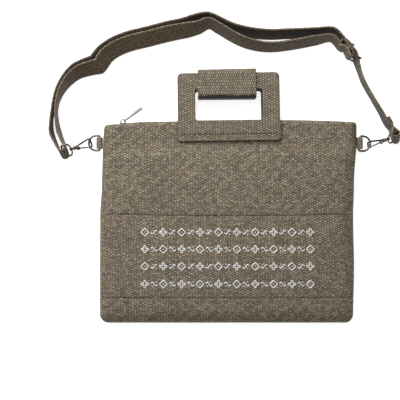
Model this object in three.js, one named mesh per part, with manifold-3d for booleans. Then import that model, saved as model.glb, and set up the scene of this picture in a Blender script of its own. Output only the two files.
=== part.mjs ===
import * as THREE from "three";
import { mergeVertices } from "three/addons/utils/BufferGeometryUtils.js";
import Module from "manifold-3d";

const wasm = await Module();
wasm.setup();

// Driving dimensions, in millimetres and degrees.
// The bag lies on its back: X to its right, Y towards the handles, Z up from the surface it lies on.
const bagWidth = 360;
const bagHeight = 286;
const wall = 2.4;
const gap = 0.3;
const weld = 0.4;

// Stuffed form: the height of the side seam, the roll of the edges and the crown of the front
const seamHeight = 12.5;
const frontRise = 13.5;
const crownRise = 5.5;
const edgeRoll = 22;
const lipRoll = 7;
const topCorner = 5.5;
const bottomCorner = 12;
const shelfBlend = 18;
const shelfMargin = 4.5;
const cornerGrowth = 0.6;
const crownPower = 2.4;

// Seams across the front
const seamSlit = 0.4;
const seamGrooveWidth = 4;
const seamGrooveDepth = 1.1;
const seamGrooveRise = 0.6;
const seamOverrun = 1.02;

// Zip along the top edge
const zipOpening = 10.6;
const zipTaper = 30;
const zipEnd = 15;
const chainWidth = 5;
const chainThickness = 2;
const chainInset = 1.1;
const chainClearance = 0.15;
const tapeThickness = 1.2;
const tapeInset = 1.2;
const sliderLength = 10;
const sliderHeight = 7.5;
const sliderThickness = 1.8;
const sliderInset = 0.5;
const bridgeRadius = 3.4;
const bridgeWire = 1.6;
const bridgeLeg = 1.2;
const pullLength = 33.5;
const pullWidth = 5.2;
const pullThickness = 2.6;
const pullEyeWire = 1.3;
const pullAngle = 33.5;
const sliderShare = -0.846;

// Handles and the grip round them
const handleWidth = 143;
const handleThickness = 4.2;
const handleBar = 24.5;
const handleTopBar = 23.5;
const handleOpening = 43;
const plateHeight = 29.5;
const handleCorner = 6;
const openingCorner = 3.5;
const handleEdge = 1;
const handleShift = 2;
const handleTurn = 0.8;
const wrapLength = 82;
const wrapHeight = 38.5;
const wrapDepth = 31;
const wrapWall = 2.5;
const wrapCorner = 5;
const wrapRoom = 1.5;
const wrapShift = -2;

// Tabs and rings at the sides
const tabWidth = 16;
const tabReach = 9.2;
const tabWall = 1.9;
const tabRoot = 1.1;
const tabDrop = 31.3;
const tabRound = 0.42;
const tabSlotCorner = 1.5;
const ringWidth = 24;
const ringDepth = 18.6;
const ringWire = 3;
const ringCorner = 2.5;

// Snap hooks with their swivel eyes
const hookWire = 2.6;
const hookHalfWidth = 7.3;
const hookCorner = 3;
const hookLength = 26.5;
const collarLength = 6;
const collarDiameter = 6.2;
const hookReach = 41;
const clawTip = 6;
const gateWire = 2.2;
const gatePivotInset = 2.2;
const gatePivotOffset = 2.5;
const knuckleDiameter = 3.4;
const pivotPin = 1.2;
const cheekThickness = 0.8;
const cheekHeight = 2.8;
const clawSpread = 0.8;
const cornerEase = 0.4;
const swivelPin = 2.2;
const swivelEnd = 2.2;
const swivelBore = 1.5;
const eyeWire = 2.6;
const eyeBoss = 5.4;
const eyeShoulder = 4.5;
const eyeCorner = 2.4;
const eyeClearance = 1;
const eyeRest = 0.3;

// Strap and its slide
const strapWidth = 25;
const strapThickness = 3;
const strapStep = 13;
const strapFlap = 28;
const loopRadius = 4.5;
const slideWire = 2.4;
const slideLength = 24;
const slideClearance = 0.5;
const slideOverrun = 1.08;
const slideSweep = 1.5;

// What follows from them
const halfWidth = bagWidth / 2;
const halfHeight = bagHeight / 2;
const backHandleBottom = wrapWall + gap;
const backHandleTop = backHandleBottom + handleThickness;
const frontHandleTop = wrapDepth - wrapWall - gap;
const frontHandleBottom = frontHandleTop - handleThickness;
const shelfTop = frontHandleBottom - gap;
const shelfUnder = backHandleTop + gap;
const shelfDepth = plateHeight + shelfMargin;
const tabHeight = halfHeight - tabDrop;
const zipHeight = (shelfTop + shelfUnder) / 2;
const frontLip = zipHeight + zipOpening / 2;
const backLip = zipHeight - zipOpening / 2;
const restClearance = 0.2;

// Half outline of the bag, as shares of the half width, from the bottom edge (-1) to the top edge (1)
const sideTable = [
  { up: -1.0, left: 1.003, right: 0.992 },
  { up: -0.45, left: 1.003, right: 1.0 },
  { up: 0.05, left: 1.002, right: 0.993 },
  { up: 0.4, left: 0.988, right: 1.0 },
  { up: 0.8, left: 0.979, right: 1.018 },
  { up: 1.0, left: 0.969, right: 1.021 },
];

// Height of the top edge, as shares of the half height, from left (-1) to right (1)
const topTable = [
  { across: -1.0, top: 0.963 },
  { across: -0.6, top: 0.989 },
  { across: 0.0, top: 1.0 },
  { across: 0.5, top: 1.004 },
  { across: 1.0, top: 0.99 },
];

// Seams across the front, as shares of the half height
const seamTable = [{ up: 0.073 }, { up: -0.745 }];

// Rings of the stuffed form inside its rolled edge, as shares of the way from the edge to the middle
const fieldTable = [
  { side: 0.05, top: 0.0 },
  { side: 0.17, top: 0.14 },
  { side: 0.4, top: 0.42 },
  { side: 0.7, top: 0.72 },
];

// The zip pull from its root to its tip: place along it, width and thickness, as shares of its own
const pullTable = [
  { along: 0, wide: 0.3, thick: 0.7 },
  { along: 0.1, wide: 0.4, thick: 0.9 },
  { along: 0.55, wide: 0.72, thick: 1 },
  { along: 0.97, wide: 1, thick: 1 },
  { along: 1, wide: 0.86, thick: 0.7 },
];

// The collar of a hook, from the claw's side: radius as a share of its own, and place along its length
const collarTable = [
  { radius: 0.75, along: 0 },
  { radius: 1, along: 0.13 },
  { radius: 0.85, along: 0.4 },
  { radius: 1, along: 0.83 },
  { radius: 0.8, along: 1 },
];

// How each hook lies: heading of the ring, of the hook's seat on the ring's bow and of the hook from +X,
// and the roll of the hook and of its eye about it
const fittings = {
  left: { side: -1, ringHeading: 180, seat: 175, heading: 198, roll: 40, eyeRoll: 28 },
  right: { side: 1, ringHeading: -8, seat: -15, heading: 16.5, roll: 58, eyeRoll: 24 },
};

// The doubled strap on its way to the slide: foot of the inner layer as shares of the half width
// and half height, its lean from upright, and how far out the outer layer lies, as a share of its width
const doubledRun = [
  { x: -1.345, y: 1.101, lean: -3, apart: 0.2 },
  { x: -1.332, y: 1.191, lean: 0, apart: 0.17 },
  { x: -1.288, y: 1.292, lean: 11, apart: 0.16 },
  { x: -1.228, y: 1.372, lean: 24, apart: 0.17 },
  { x: -1.164, y: 1.427, lean: 36, apart: 0.2 },
  { x: -1.084, y: 1.457, lean: 46, apart: 0.22 },
  { x: -1.02, y: 1.472, lean: 50, apart: 0.28 },
  { x: -0.978, y: 1.487, lean: 52, apart: 0.34 },
  { x: -0.945, y: 1.538, lean: 54, apart: 0.3 },
  { x: -0.909, y: 1.603, lean: 56, apart: 0.25 },
  { x: -0.845, y: 1.658, lean: 56, apart: 0.24 },
  { x: -0.757, y: 1.703, lean: 56, apart: 0.24 },
  { x: -0.613, y: 1.748, lean: 56, apart: 0.24 },
  { x: -0.454, y: 1.799, lean: 56, apart: 0.25 },
  { x: -0.302, y: 1.839, lean: 50, apart: 0.3 },
  { x: -0.214, y: 1.874, lean: 38, apart: 0.42 },
  { x: -0.143, y: 1.924, lean: 28, apart: 0.3 },
  { x: -0.087, y: 1.884, lean: 27, apart: 0.3 },
  { x: -0.023, y: 1.836, lean: 26, apart: 0.36 },
  { x: 0.057, y: 1.778, lean: 26, apart: 0.5 },
  { x: 0.153, y: 1.728, lean: 26, apart: 0.62 },
  { x: 0.256, y: 1.7, lean: 24, apart: 0.7 },
  { x: 0.36, y: 1.693, lean: 23, apart: 0.71 },
  { x: 0.472, y: 1.707, lean: 23, apart: 0.67 },
  { x: 0.591, y: 1.731, lean: 24, apart: 0.56 },
  { x: 0.711, y: 1.761, lean: 23, apart: 0.44 },
  { x: 0.823, y: 1.794, lean: 12, apart: 0.4 },
  { x: 0.887, y: 1.713, lean: 5, apart: 0.36 },
];

// The single strap from the slide towards the right eye, in the same way
const singleRun = [
  { x: 1.034, y: 1.502, lean: -2 },
  { x: 1.07, y: 1.382, lean: -2 },
  { x: 1.142, y: 1.221, lean: -2 },
];

// The strap beside each eye: foot of the inner layer from the eye's bar, in shares of the strap's width
const leftApproach = [
  { x: -0.175, y: 1.156, lean: 4, apart: 0.42 },
  { x: -0.348, y: 1.785, lean: -2, apart: 0.32 },
];
const rightApproach = [
  { x: -0.876, y: 1.344, lean: 0 },
  { x: -0.531, y: 0.652, lean: 4 },
];

// The slide: its middle as shares of the half width and half height, its heading and its lean
const slidePlace = { x: 0.97, y: 1.648, heading: -63, lean: 4 };

const { lerp, degToRad, smoothstep } = THREE.MathUtils;
const upright = new THREE.Vector3(0, 0, 1);
const topSteps = 12;
const sideSteps = 6;

// Finishes
const finishes = {
  leather: new THREE.MeshStandardMaterial({ color: 0x7b7262, roughness: 0.75, metalness: 0 }),
  strap: new THREE.MeshStandardMaterial({ color: 0x6b6254, roughness: 0.8, metalness: 0 }),
  metal: new THREE.MeshStandardMaterial({ color: 0x8a807a, roughness: 0.25, metalness: 1 }),
  zipTape: new THREE.MeshStandardMaterial({ color: 0x4d463b, roughness: 0.9, metalness: 0 }),
};

function readTable(rows, key, column, at) {
  let i = 0;
  while (i < rows.length - 2 && at > rows[i + 1][key]) {
    i += 1;
  }
  const share = (at - rows[i][key]) / (rows[i + 1][key] - rows[i][key]);
  return lerp(rows[i][column], rows[i + 1][column], smoothstep(share, 0, 1));
}

function signedVolume(positions, index) {
  const corners = [new THREE.Vector3(), new THREE.Vector3(), new THREE.Vector3()];
  let volume = 0;
  for (let i = 0; i < index.length; i += 3) {
    corners.forEach((corner, k) => corner.fromArray(positions, 3 * index[i + k]));
    volume += corners[0].dot(corners[1].clone().cross(corners[2])) / 6;
  }
  return volume;
}

// A closed body through rings of equally many points, its ends closed by fans unless the rings close
function loft(rings, closed = false) {
  const points = rings.flat();
  const count = rings[0].length;
  const index = [];
  const spans = closed ? rings.length : rings.length - 1;
  for (let i = 0; i < spans; i += 1) {
    const next = (i + 1) % rings.length;
    for (let j = 0; j < count; j += 1) {
      const side = (j + 1) % count;
      const [a, b] = [i * count + j, i * count + side];
      const [c, d] = [next * count + j, next * count + side];
      index.push(a, b, d, a, d, c);
    }
  }
  if (!closed) {
    [0, rings.length - 1].forEach((ring) => {
      const middle = new THREE.Vector3();
      rings[ring].forEach((point) => middle.addScaledVector(point, 1 / count));
      points.push(middle);
      for (let j = 0; j < count; j += 1) {
        const edge = [ring * count + j, ring * count + ((j + 1) % count)];
        const [from, to] = ring === 0 ? [edge[1], edge[0]] : edge;
        index.push(from, to, points.length - 1);
      }
    });
  }
  const positions = points.flatMap((point) => point.toArray());
  if (signedVolume(positions, index) < 0) {
    index.reverse();
  }
  const geometry = new THREE.BufferGeometry();
  geometry.setAttribute("position", new THREE.Float32BufferAttribute(positions, 3));
  geometry.setIndex(index);
  return geometry;
}

function toSolid(geometry) {
  const bare = geometry.clone();
  bare.deleteAttribute("normal");
  bare.deleteAttribute("uv");
  const merged = mergeVertices(bare, 1e-4);
  const vertProperties = new Float32Array(merged.getAttribute("position").array);
  const triVerts = new Uint32Array(merged.getIndex().array);
  return new wasm.Manifold(new wasm.Mesh({ numProp: 3, vertProperties, triVerts }));
}

function toGeometry(solid) {
  const cut = solid.getMesh();
  const geometry = new THREE.BufferGeometry();
  geometry.setAttribute("position", new THREE.Float32BufferAttribute(cut.vertProperties, 3));
  geometry.setIndex(Array.from(cut.triVerts));
  return geometry;
}

function join(geometries, cuts = []) {
  const whole = geometries.map(toSolid).reduce((sum, solid) => sum.add(solid));
  return toGeometry(cuts.map(toSolid).reduce((rest, solid) => rest.subtract(solid), whole));
}

// A round wire along a flat path, in the plane whose normal is given
function wire(path, normal, diameter, { closed = false, sides = 8 } = {}) {
  const last = path.length - 1;
  const rings = path.map((point, i) => {
    const before = path[i === 0 ? (closed ? last : 0) : i - 1];
    const after = path[i === last ? (closed ? 0 : last) : i + 1];
    const side = after.clone().sub(before).cross(normal).normalize();
    return Array.from({ length: sides }, (_, k) => {
      const turn = (2 * Math.PI * (k + 0.5)) / sides;
      return point
        .clone()
        .addScaledVector(side, (Math.cos(turn) * diameter) / 2)
        .addScaledVector(normal, (Math.sin(turn) * diameter) / 2);
    });
  });
  return loft(rings, closed);
}

function arc(centre, radius, from, to, steps) {
  return Array.from({ length: steps + 1 }, (_, i) => {
    const turn = degToRad(lerp(from, to, i / steps));
    return new THREE.Vector3(centre.x + radius * Math.cos(turn), centre.y + radius * Math.sin(turn), 0);
  });
}

function cylinder(diameter, from, to, sides = 12) {
  const geometry = new THREE.CylinderGeometry(diameter / 2, diameter / 2, to - from, sides);
  return geometry.rotateZ(-Math.PI / 2).translate((from + to) / 2, 0, 0);
}

function box(width, depth, height, x, y, z) {
  return new THREE.BoxGeometry(width, depth, height).translate(x, y, z);
}

function roundedRectangle(shape, left, low, width, height, radius) {
  const [right, high] = [left + width, low + height];
  shape.moveTo(left + radius, low);
  shape.lineTo(right - radius, low);
  shape.absarc(right - radius, low + radius, radius, -Math.PI / 2, 0);
  shape.lineTo(right, high - radius);
  shape.absarc(right - radius, high - radius, radius, 0, Math.PI / 2);
  shape.lineTo(left + radius, high);
  shape.absarc(left + radius, high - radius, radius, Math.PI / 2, Math.PI);
  shape.lineTo(left, low + radius);
  shape.absarc(left + radius, low + radius, radius, Math.PI, 1.5 * Math.PI);
  return shape;
}

// Outline of the bag

function sideEdge(y, side) {
  const column = side < 0 ? "left" : "right";
  return side * halfWidth * readTable(sideTable, "up", column, y / halfHeight);
}

function topEdge(x) {
  return halfHeight * readTable(topTable, "across", "top", x / halfWidth);
}

// Takes a point of the plain rounded rectangle to the bag's own outline
function fitOutline(x, y) {
  const across = x * (Math.abs(sideEdge(y, x < 0 ? -1 : 1)) / halfWidth);
  const up = y > 0 ? y * (topEdge(x) / halfHeight) : y;
  return [across, up];
}

// Stations along an edge, closer together towards its ends
function edgeShares(steps) {
  return Array.from({ length: steps + 1 }, (_, k) => (1 - Math.cos((Math.PI * k) / steps)) / 2);
}

// Rounded rectangle inset by so much at the sides, top and bottom; the contours round off inwards
function plainRing({ side, top, bottom }) {
  const [right, high, low] = [halfWidth - side, halfHeight - top, bottom - halfHeight];
  const limit = 0.8 * Math.min(right, (high - low) / 2);
  const radiusTop = Math.min(limit, topCorner + cornerGrowth * Math.min(side, top));
  const radiusBottom = Math.min(limit, bottomCorner + cornerGrowth * bottom);
  const corners = [
    { x: right - radiusBottom, y: low + radiusBottom, radius: radiusBottom, from: -90, edgeSteps: sideSteps },
    { x: right - radiusTop, y: high - radiusTop, radius: radiusTop, from: 0, edgeSteps: topSteps },
    { x: radiusTop - right, y: high - radiusTop, radius: radiusTop, from: 90, edgeSteps: sideSteps },
    { x: radiusBottom - right, y: low + radiusBottom, radius: radiusBottom, from: 180, edgeSteps: sideSteps },
  ];
  const turns = corners.map((corner) => arc(corner, corner.radius, corner.from, corner.from + 90, 3));
  return corners.flatMap((corner, i) => {
    const from = turns[i].at(-1);
    const to = turns[(i + 1) % corners.length][0];
    const edge = edgeShares(corner.edgeSteps).slice(1, -1).map((share) => from.clone().lerp(to, share));
    return [...turns[i], ...edge];
  });
}

// How far a point belongs to the flat shelf behind the lips, where the handle plates lie
function shelfShare(x, y) {
  const shelfEdge = halfHeight - shelfDepth;
  const up = smoothstep(y, shelfEdge - shelfBlend, shelfEdge);
  return up * smoothstep(halfWidth - Math.abs(x), 0, zipTaper);
}

function crown(x, y) {
  const middle = -shelfDepth / 2;
  const reach = halfHeight - shelfDepth / 2;
  const across = 1 - Math.min(1, Math.abs(x / halfWidth)) ** crownPower;
  const up = 1 - Math.min(1, Math.abs((y - middle) / reach)) ** crownPower;
  return crownRise * across * up;
}

function frontHeight(x, y, climb, depth) {
  const side = seamHeight + gap / 2 + climb * (frontRise - depth);
  const top = frontLip + climb * (shelfTop - frontLip - depth);
  return lerp(side, top, shelfShare(x, y)) + climb * crown(x, y);
}

function backHeight(x, y, climb, depth) {
  const rim = seamHeight - gap / 2;
  const side = rim - climb * (rim - depth);
  const top = backLip - climb * (backLip - shelfUnder - depth);
  return lerp(side, top, shelfShare(x, y));
}

// One dish of the bag: rings from the middle of its outside over the rim to the middle of its inside
function dish(heightAt) {
  const surface = (depth, angles, fields) => {
    const roll = angles.map((angle) => {
      const inward = 1 - Math.cos(degToRad(angle));
      const side = depth + (edgeRoll - depth) * inward;
      const top = depth + (lipRoll - depth) * inward;
      return { side, top, bottom: side, climb: Math.sin(degToRad(angle)) };
    });
    const field = fields.map((row) => ({
      side: lerp(edgeRoll, halfWidth, row.side),
      top: lerp(shelfDepth, halfHeight, row.top),
      bottom: lerp(edgeRoll, halfHeight, row.side),
      climb: 1,
    }));
    return [...roll, ...field].map((row) =>
      plainRing(row).map(({ x, y }) => {
        const height = heightAt(x, y, row.climb, depth);
        return new THREE.Vector3(...fitOutline(x, y), height);
      }),
    );
  };
  const outside = surface(0, [0, 24, 48, 70, 90], fieldTable);
  const inside = surface(wall, [0, 45, 90], [fieldTable[0], fieldTable[1], fieldTable[3]]);
  return loft([...outside.reverse(), ...inside]);
}

function seamGroove(y) {
  const steps = 24;
  const rings = Array.from({ length: steps + 1 }, (_, i) => {
    const x = lerp(-halfWidth, halfWidth, i / steps);
    const inward = Math.min(1, (halfWidth - Math.abs(x)) / edgeRoll);
    const climb = Math.sqrt(1 - (1 - inward) ** 2);
    const height = frontHeight(x, y, climb, 0);
    const [across] = fitOutline(x * seamOverrun, y);
    return [
      new THREE.Vector3(across, y, height - seamGrooveDepth),
      new THREE.Vector3(across, y + seamGrooveWidth / 2, height + seamGrooveRise),
      new THREE.Vector3(across, y - seamGrooveWidth / 2, height + seamGrooveRise),
    ];
  });
  return loft(rings);
}

function frontPanels() {
  const seams = seamTable.map((row) => row.up * halfHeight);
  const shell = join([dish(frontHeight)], seams.map(seamGroove));
  const limits = [bagHeight, ...seams, -bagHeight];
  return ["front_upper_panel", "front_band_panel", "front_lower_panel"].map((name, i) => {
    const high = limits[i] - (i > 0 ? seamSlit / 2 : 0);
    const low = limits[i + 1] + (i < seams.length ? seamSlit / 2 : 0);
    const slice = box(2 * bagWidth, high - low, bagWidth, 0, (high + low) / 2, 0);
    const geometry = toGeometry(toSolid(shell).intersect(toSolid(slice)));
    return mesh(name, geometry, finishes.leather);
  });
}

// Zip between the lips; every strip follows the top edge and narrows with the opening
function zipStrip(name, inset, thickness, from, to, finish) {
  const reach = halfWidth - zipEnd;
  const rings = edgeShares(topSteps).slice(1, -1).map((station) => {
    const x = lerp(-reach, reach, station);
    const outside = topEdge(x) - inset;
    const share = smoothstep(halfWidth - Math.abs(x), 0, zipTaper);
    const lips = { back: lerp(seamHeight, backLip, share), front: lerp(seamHeight, frontLip, share) };
    const middle = (lips.back + lips.front) / 2;
    const half = Math.min(chainWidth / 2, 0.4 * (lips.front - lips.back));
    const ends = [from, to].map((place) => place(lips, middle, half));
    return [
      new THREE.Vector3(...fitZip(x, outside), ends[0]),
      new THREE.Vector3(...fitZip(x, outside), ends[1]),
      new THREE.Vector3(...fitZip(x, outside - thickness), ends[1]),
      new THREE.Vector3(...fitZip(x, outside - thickness), ends[0]),
    ];
  });
  return mesh(name, loft(rings), finish);
}

function fitZip(x, y) {
  return [fitOutline(x, halfHeight)[0], y];
}

function zip() {
  const chain = zipStrip(
    "zipper_chain",
    chainInset,
    chainThickness,
    (lips, middle, half) => middle - half + chainClearance,
    (lips, middle, half) => middle + half - chainClearance,
    finishes.metal,
  );
  const tapeBack = zipStrip(
    "zipper_tape_back",
    tapeInset,
    tapeThickness,
    (lips) => lips.back + gap,
    (lips, middle, half) => middle - half - chainClearance,
    finishes.zipTape,
  );
  const tapeFront = zipStrip(
    "zipper_tape_front",
    tapeInset,
    tapeThickness,
    (lips, middle, half) => middle + half + chainClearance,
    (lips) => lips.front - 4 * gap,
    finishes.zipTape,
  );
  return [chain, tapeBack, tapeFront];
}

function mesh(name, geometry, material) {
  const piece = new THREE.Mesh(geometry, material);
  piece.name = name;
  return piece;
}

function zipSlider() {
  const plate = new THREE.Shape();
  roundedRectangle(plate, -sliderLength / 2, -sliderHeight / 2, sliderLength, sliderHeight, 2);
  const body = new THREE.ExtrudeGeometry(plate, {
    depth: sliderThickness,
    bevelEnabled: false,
    curveSegments: 3,
  });
  body.rotateX(-Math.PI / 2).translate(0, -bridgeLeg - sliderThickness, 0);
  const bend = arc({ x: 0, y: 0 }, bridgeRadius, 0, 180, 8);
  const feet = [1, -1].map((side) => new THREE.Vector3(side * bridgeRadius, -bridgeLeg - weld, 0));
  const bridge = wire([feet[0], ...bend, feet[1]], upright, bridgeWire);
  return mesh("zipper_slider", join([body, bridge]), finishes.metal);
}

function zipPull() {
  const hole = bridgeWire / 2 + 2 * gap;
  const eyeRadius = hole + pullEyeWire / 2;
  const ring = arc({ x: bridgeRadius, y: 0 }, eyeRadius, 0, 330, 11);
  const eye = wire(ring, upright, pullEyeWire, { closed: true, sides: 6 }).rotateX(Math.PI / 2);
  const root = bridgeRadius + eyeRadius;
  const rings = pullTable.map((row) => {
    const x = lerp(root, pullLength, row.along);
    const [wide, thick] = [(row.wide * pullWidth) / 2, (row.thick * pullThickness) / 2];
    return Array.from({ length: 10 }, (_, k) => {
      const turn = (2 * Math.PI * (k + 0.5)) / 10;
      return new THREE.Vector3(x, wide * Math.cos(turn), thick * Math.sin(turn));
    });
  });
  const geometry = join([eye, loft(rings)]);
  const pull = mesh("zipper_pull", geometry, finishes.metal);
  pull.rotation.z = degToRad(pullAngle);
  return pull;
}

function sliderGroup() {
  const group = new THREE.Group();
  const x = sliderShare * halfWidth;
  const ends = [-1, 1].map((side) => topEdge(x + (side * sliderLength) / 2));
  const face = (ends[0] + ends[1]) / 2 - sliderInset;
  group.rotation.z = Math.atan2(ends[1] - ends[0], sliderLength);
  group.position.set(fitOutline(x, halfHeight)[0], face + sliderThickness + bridgeLeg, zipHeight);
  group.add(zipSlider(), zipPull());
  return group;
}

// Handles

function handle(name, bottom) {
  const topOfHandle = handleOpening + handleTopBar;
  const shape = new THREE.Shape();
  const full = plateHeight + topOfHandle;
  roundedRectangle(shape, -handleWidth / 2, -plateHeight, handleWidth, full, handleCorner);
  const opening = new THREE.Path();
  const openWidth = handleWidth - 2 * handleBar;
  roundedRectangle(opening, -openWidth / 2, 0, openWidth, handleOpening, openingCorner);
  shape.holes.push(opening);
  const geometry = new THREE.ExtrudeGeometry(shape, {
    depth: handleThickness - 2 * handleEdge,
    curveSegments: 3,
    bevelThickness: handleEdge,
    bevelSize: handleEdge,
    bevelOffset: -handleEdge,
    bevelSegments: 1,
  });
  const piece = mesh(name, geometry, finishes.leather);
  piece.position.set(handleShift, topEdge(0), bottom + handleEdge);
  piece.rotation.z = degToRad(handleTurn);
  return piece;
}

function handleWrap() {
  const top = handleOpening + handleTopBar + wrapWall + wrapRoom;
  const shape = new THREE.Shape();
  roundedRectangle(shape, 0, top - wrapHeight, wrapDepth, wrapHeight, wrapCorner);
  const inside = new THREE.Path();
  const [innerDepth, innerHeight] = [wrapDepth - 2 * wrapWall, wrapHeight - 2 * wrapWall];
  const innerCorner = wrapCorner - wrapWall;
  roundedRectangle(inside, wrapWall, top - wrapHeight + wrapWall, innerDepth, innerHeight, innerCorner);
  shape.holes.push(inside);
  const geometry = new THREE.ExtrudeGeometry(shape, {
    depth: wrapLength,
    bevelEnabled: false,
    curveSegments: 4,
  });
  geometry.translate(0, 0, -wrapLength / 2).rotateY(-Math.PI / 2).translate(wrapShift, 0, 0);
  const piece = mesh("handle_wrap", geometry, finishes.leather);
  piece.position.set(handleShift, topEdge(0), 0);
  piece.rotation.z = degToRad(handleTurn);
  return piece;
}

// Tab, ring, hook, gate and eye of one side

function tab(name, place) {
  const thickness = ringWire + 2 * gap + 2 * tabWall;
  const shape = new THREE.Shape();
  roundedRectangle(shape, gap, -thickness / 2, tabReach - gap, thickness, thickness * tabRound);
  const slot = new THREE.Path();
  const slotHeight = ringWire + 2 * gap;
  const slotReach = tabReach - tabRoot - tabWall - gap;
  roundedRectangle(slot, tabRoot + gap, -slotHeight / 2, slotReach, slotHeight, tabSlotCorner);
  shape.holes.push(slot);
  const geometry = new THREE.ExtrudeGeometry(shape, {
    depth: tabWidth,
    bevelEnabled: false,
    curveSegments: 3,
  });
  geometry.translate(0, 0, -tabWidth / 2).rotateX(Math.PI / 2);
  const piece = mesh(name, geometry, finishes.leather);
  piece.position.set(tabEdge(place.side), tabHeight, seamHeight);
  piece.rotation.z = place.side < 0 ? Math.PI : 0;
  return piece;
}

function tabEdge(side) {
  const ends = [-1, 1].map((end) => Math.abs(sideEdge(tabHeight + (end * tabWidth) / 2, side)));
  return side * Math.max(...ends);
}

const ringHalf = (ringWidth - ringWire) / 2;
const ringBow = ringDepth - ringWire - ringHalf;
const ringBar = tabRoot + gap + (tabReach - tabRoot - tabWall - gap) / 2;

function ring(name, place) {
  const corner = { x: ringCorner, y: ringHalf - ringCorner };
  const path = [
    ...arc({ x: ringBow, y: 0 }, ringHalf, -90, 90, 12),
    ...arc(corner, ringCorner, 90, 180, 3),
    ...arc({ x: corner.x, y: -corner.y }, ringCorner, 180, 270, 3),
  ];
  const piece = mesh(name, wire(path, upright, ringWire, { closed: true }), finishes.metal);
  piece.position.copy(ringMiddle(place));
  piece.rotation.z = degToRad(place.ringHeading);
  return piece;
}

function ringMiddle({ side }) {
  return new THREE.Vector3(tabEdge(side) + side * ringBar, tabHeight, seamHeight);
}

// Axes of a hook and of its eye, and the middles of claw and eye bar
function hookFrame(place) {
  const flat = (angle) => new THREE.Vector3(Math.cos(degToRad(angle)), Math.sin(degToRad(angle)), 0);
  const heading = flat(place.heading);
  const bow = ringMiddle(place).addScaledVector(flat(place.ringHeading), ringBow);
  const claw = bow.addScaledVector(flat(place.seat), ringHalf - ringWire / 2 - gap - hookWire / 2);
  const eyeHalf = eyeHalfWidth();
  const tilt = degToRad(place.eyeRoll);
  const eyeHeight = restClearance + eyeHalf * Math.cos(tilt) + eyeWire / 2 + eyeRest;
  const along = heading.clone().multiplyScalar(hookReach);
  along.z = eyeHeight - seamHeight;
  along.normalize();
  const north = upright.clone().cross(along).normalize().multiplyScalar(place.side);
  const up = along.clone().cross(north).multiplyScalar(place.side);
  const tilted = (angle) =>
    north.clone().multiplyScalar(Math.sin(angle)).addScaledVector(up, Math.cos(angle)).normalize();
  const roll = degToRad(place.roll);
  const across = north.clone().multiplyScalar(Math.cos(roll)).addScaledVector(up, Math.sin(roll));
  const width = tilted(tilt);
  const out = north.clone().multiplyScalar(Math.cos(tilt)).addScaledVector(up, -Math.sin(tilt));
  const eyeBar = claw.clone().addScaledVector(along, hookReach);
  return { claw, along, across, width, out, eyeBar };
}

function eyeHalfWidth() {
  return strapWidth / 2 + eyeClearance + eyeWire / 2;
}

function armPath() {
  const slope = Math.atan2(hookHalfWidth - collarDiameter / 4, hookLength - collarLength - hookCorner);
  const lean = THREE.MathUtils.radToDeg(slope);
  const corner = { x: hookCorner, y: hookHalfWidth - hookCorner };
  const ease = lean * cornerEase;
  const root = new THREE.Vector3(hookLength - collarLength + 2 * weld, collarDiameter / 4, 0);
  const lower = arc({ x: corner.x, y: -corner.y }, hookCorner, 180, 270 + ease, 4);
  const rise = (clawTip - hookCorner) * Math.tan(slope) * clawSpread;
  const tip = new THREE.Vector3(clawTip, rise - hookHalfWidth, 0);
  return [root, ...arc(corner, hookCorner, 90 - ease, 180, 4), ...lower, tip];
}

function hook(name) {
  const collarStart = hookLength - collarLength;
  const turned = collarTable.map((row) => [
    (row.radius * collarDiameter) / 2,
    collarStart + row.along * collarLength,
  ]);
  const profile = [[0, collarStart], ...turned, [0, hookLength]].map((row) => new THREE.Vector2(...row));
  const lathe = new THREE.LatheGeometry(profile, 12).rotateZ(-Math.PI / 2);
  const pivot = gatePivot();
  const cheek = gateKnuckleHalf() + gap + cheekThickness / 2;
  const start = pivot.x - cheekHeight / 2;
  const reach = collarStart + 2 * weld - start;
  const cheeks = [-1, 1].map((side) =>
    box(reach, cheekHeight, cheekThickness, start + reach / 2, pivot.y, side * cheek),
  );
  const pin = cylinder(pivotPin, -cheek, cheek, 8).rotateY(Math.PI / 2).translate(pivot.x, pivot.y, 0);
  const bore = cylinder(swivelPin + 2 * gap, collarStart + swivelBore, hookLength + weld, 10);
  const geometry = join([wire(armPath(), upright, hookWire), lathe, ...cheeks, pin], [bore]);
  return mesh(name, geometry, finishes.metal);
}

function gatePivot() {
  return new THREE.Vector3(hookLength - collarLength - gatePivotInset, -gatePivotOffset, 0);
}

function gateKnuckleHalf() {
  return knuckleDiameter / 2 - weld;
}

function gate(name) {
  const pivot = gatePivot();
  const tip = armPath().at(-1);
  const line = pivot.clone().sub(tip).normalize();
  const start = tip.clone().addScaledVector(line, gap);
  const end = pivot.clone().addScaledVector(line, -pivotPin / 2);
  const lever = wire([start, end], upright, gateWire);
  const half = gateKnuckleHalf();
  const round = (diameter, reach) =>
    cylinder(diameter, -reach, reach, 12).rotateY(Math.PI / 2).translate(pivot.x, pivot.y, 0);
  const geometry = join([lever, round(knuckleDiameter, half)], [round(pivotPin + 2 * gap, 2 * half)]);
  return mesh(name, geometry, finishes.metal);
}

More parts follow.
